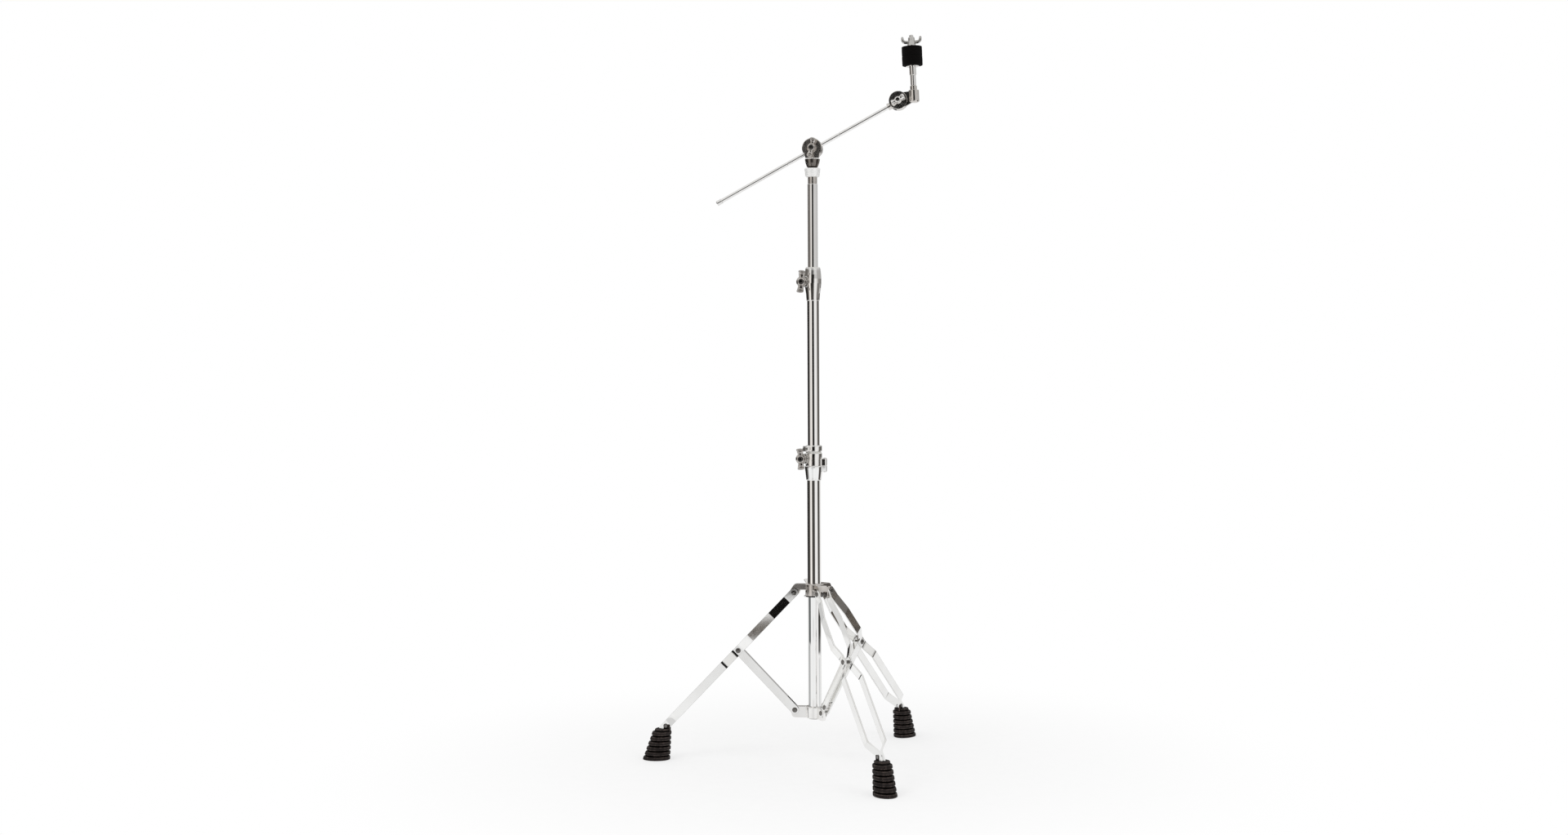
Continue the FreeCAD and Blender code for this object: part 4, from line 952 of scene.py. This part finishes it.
def floor_material():
    material, tree, shader = surface("floor")
    source = tree.new("ShaderNodeTexCoord").outputs["Object"]
    distance = tree.new("ShaderNodeVectorMath", {0: source},
                        operation="LENGTH").outputs["Value"]
    far = tree.remap(distance, span=(0.20, 1.00), to=(0.62, 1.0), smooth=True)
    paper = tree.noise(tree.coords(), scale=40.0)
    tree.fill(shader, {
        "Base Color": tree.mix(tree.remap(paper, span=(0.3, 0.7)),
                               (0.92, 0.92, 0.92, 1), (0.95, 0.95, 0.95, 1)),
        "Roughness": 0.85, "Specular IOR Level": 0.1})
    white = tree.emission((1, 1, 1, 1))
    sheet = tree.mix_shader(far, shader.outputs[0], white)
    # polished pieces see the sheet with two dim patches on it, front left and right
    bearing = bearing_of(tree, source)
    front = tree.math(
        "MULTIPLY",
        tree.window(bearing, span=(math.radians(-30), math.radians(-7)),
                    soft=math.radians(2.0)),
        tree.window(distance, span=(1.62, 2.02), soft=0.07))
    aside = tree.math(
        "MULTIPLY",
        tree.window(bearing, span=(math.radians(72), math.radians(128)),
                    soft=math.radians(4.0)),
        tree.remap(distance, span=(1.45, 1.75), smooth=True))
    dim = tree.math("MAXIMUM", front, aside)
    folds = tree.ramp(tree.remap(bearing, span=(-math.pi, math.pi)),
                      [(bearing_stop(a), (v, v, v, 1)) for a, v in FOLDS])
    blotch = tree.ramp(tree.noise(tree.coords(), scale=26.0, rough=0.6), BLOTCHES)
    mirrored = tree.emission(tree.mix(dim, folds, blotch))
    ray = tree.new("ShaderNodeLightPath")
    tree.show(tree.mix_shader(ray.outputs["Is Glossy Ray"], sheet, mirrored))
    return material


bpy.ops.mesh.primitive_circle_add(vertices=96, radius=2.6, fill_type="NGON",
                                  location=(0, 0, -0.0004))
floor = bpy.context.object
floor.name = "floor"
floor.data.materials.append(floor_material())

# --------------------------------------------------------------------- studio

# three rows of softboxes and flags, lowest to highest: (bearing in degrees, brightness)
LOW_ROW = (
    (-180, 0.015), (-120, 0.02), (-94, 0.06), (-72, 0.16), (-66, 0.92), (-38, 0.97),
    (-33, 0.10), (-12, 0.055), (11, 0.08), (15, 0.86), (60, 0.95), (65, 0.13), (84, 0.07),
    (108, 0.10), (114, 0.86), (180, 0.80))
MIDDLE_ROW = (
    (-180, 0.012), (-100, 0.02), (-83, 0.05), (-77, 0.66), (-50, 0.82), (-27, 0.92),
    (-21, 0.006), (11, 0.006), (15, 0.60), (30, 0.92), (72, 0.84), (79, 0.18), (118, 0.11),
    (150, 0.15), (180, 0.40))
HIGH_ROW = (
    (-180, 0.18), (-110, 0.13), (-60, 0.22), (-52, 0.70), (-23, 0.90), (-18, 0.006),
    (15, 0.006), (19, 0.60), (60, 0.64), (110, 0.56), (160, 0.40), (180, 0.24))


def row_hue(degrees, brightness):
    """Warm boxes on the front left, brownish flags, near-white for the rest."""
    if brightness > 0.5 and -90 < degrees < 0:
        return (1.0, 0.965, 0.925)
    if brightness < 0.32:
        return (1.0, 0.93, 0.86)
    return (1.0, 0.99, 0.98)


def build_world():
    """White for the camera and matt surfaces, softboxes and dark room for polished ones."""
    world = bpy.data.worlds.new("studio")
    bpy.context.scene.world = world
    tree = Tree(world, "ShaderNodeOutputWorld")
    source = tree.new("ShaderNodeTexCoord").outputs["Generated"]
    turn = tree.remap(bearing_of(tree, source), span=(-math.pi, math.pi))
    height = tree.dot(source, (0, 0, 1))
    low, middle, high = (
        tree.ramp(turn, [(bearing_stop(a), tint(v, row_hue(a, v))) for a, v in row], "LINEAR")
        for row in (LOW_ROW, MIDDLE_ROW, HIGH_ROW))
    room = tree.mix(tree.remap(height, span=(-0.062, -0.050), smooth=True), low, middle)
    room = tree.mix(tree.remap(height, span=(0.034, 0.046), smooth=True), room, high)
    ceiling = (0.80, 0.795, 0.785, 1)
    room = tree.mix(tree.remap(height, span=(0.20, 0.32), smooth=True), room, ceiling)
    ray = tree.new("ShaderNodeLightPath")
    shown = tree.mix(ray.outputs["Is Glossy Ray"], (1, 1, 1, 1), room)
    diffuse_loss = 0.28
    loss = tree.math("MULTIPLY", ray.outputs["Is Diffuse Ray"], diffuse_loss)
    tree.show(tree.new("ShaderNodeBackground", {
        0: shown, 1: tree.math("SUBTRACT", 1.0, loss)}).outputs[0])


def area(name, location, size, power, target=(0, 0, 0.7)):
    light = bpy.data.lights.new(name, "AREA")
    light.shape, light.size, light.energy = "DISK", size, power
    lamp = add_object(name, light)
    lamp.location = location
    aim = Vector(target) - Vector(location)
    lamp.rotation_euler = aim.to_track_quat("-Z", "Y").to_euler()
    lamp.visible_glossy = False


def build_camera(distance, height, roll):
    lens = bpy.data.cameras.new("camera")
    lens.sensor_width = 36.0
    lens.lens = 43.5
    lens.shift_x, lens.shift_y = -0.0187, -0.0372
    lens.clip_start, lens.clip_end = 0.05, 60.0
    camera = add_object("camera", lens)
    camera.location = (distance * TOWARD[0], distance * TOWARD[1], height)
    level = Matrix((Vector(RIGHT), Vector((0, 0, 1)), Vector(TOWARD))).transposed()
    camera.rotation_euler = (level @ Matrix.Rotation(roll, 3, "Z")).to_euler()
    bpy.context.scene.camera = camera


build_world()
area("key", location=(-1.6, -2.2, 2.9), size=1.6, power=26.0)
area("fill", location=(2.2, -1.4, 2.0), size=1.8, power=12.0)
build_camera(distance=3.6, height=0.766, roll=math.radians(-0.27))
bpy.context.scene.view_settings.view_transform = "Standard"
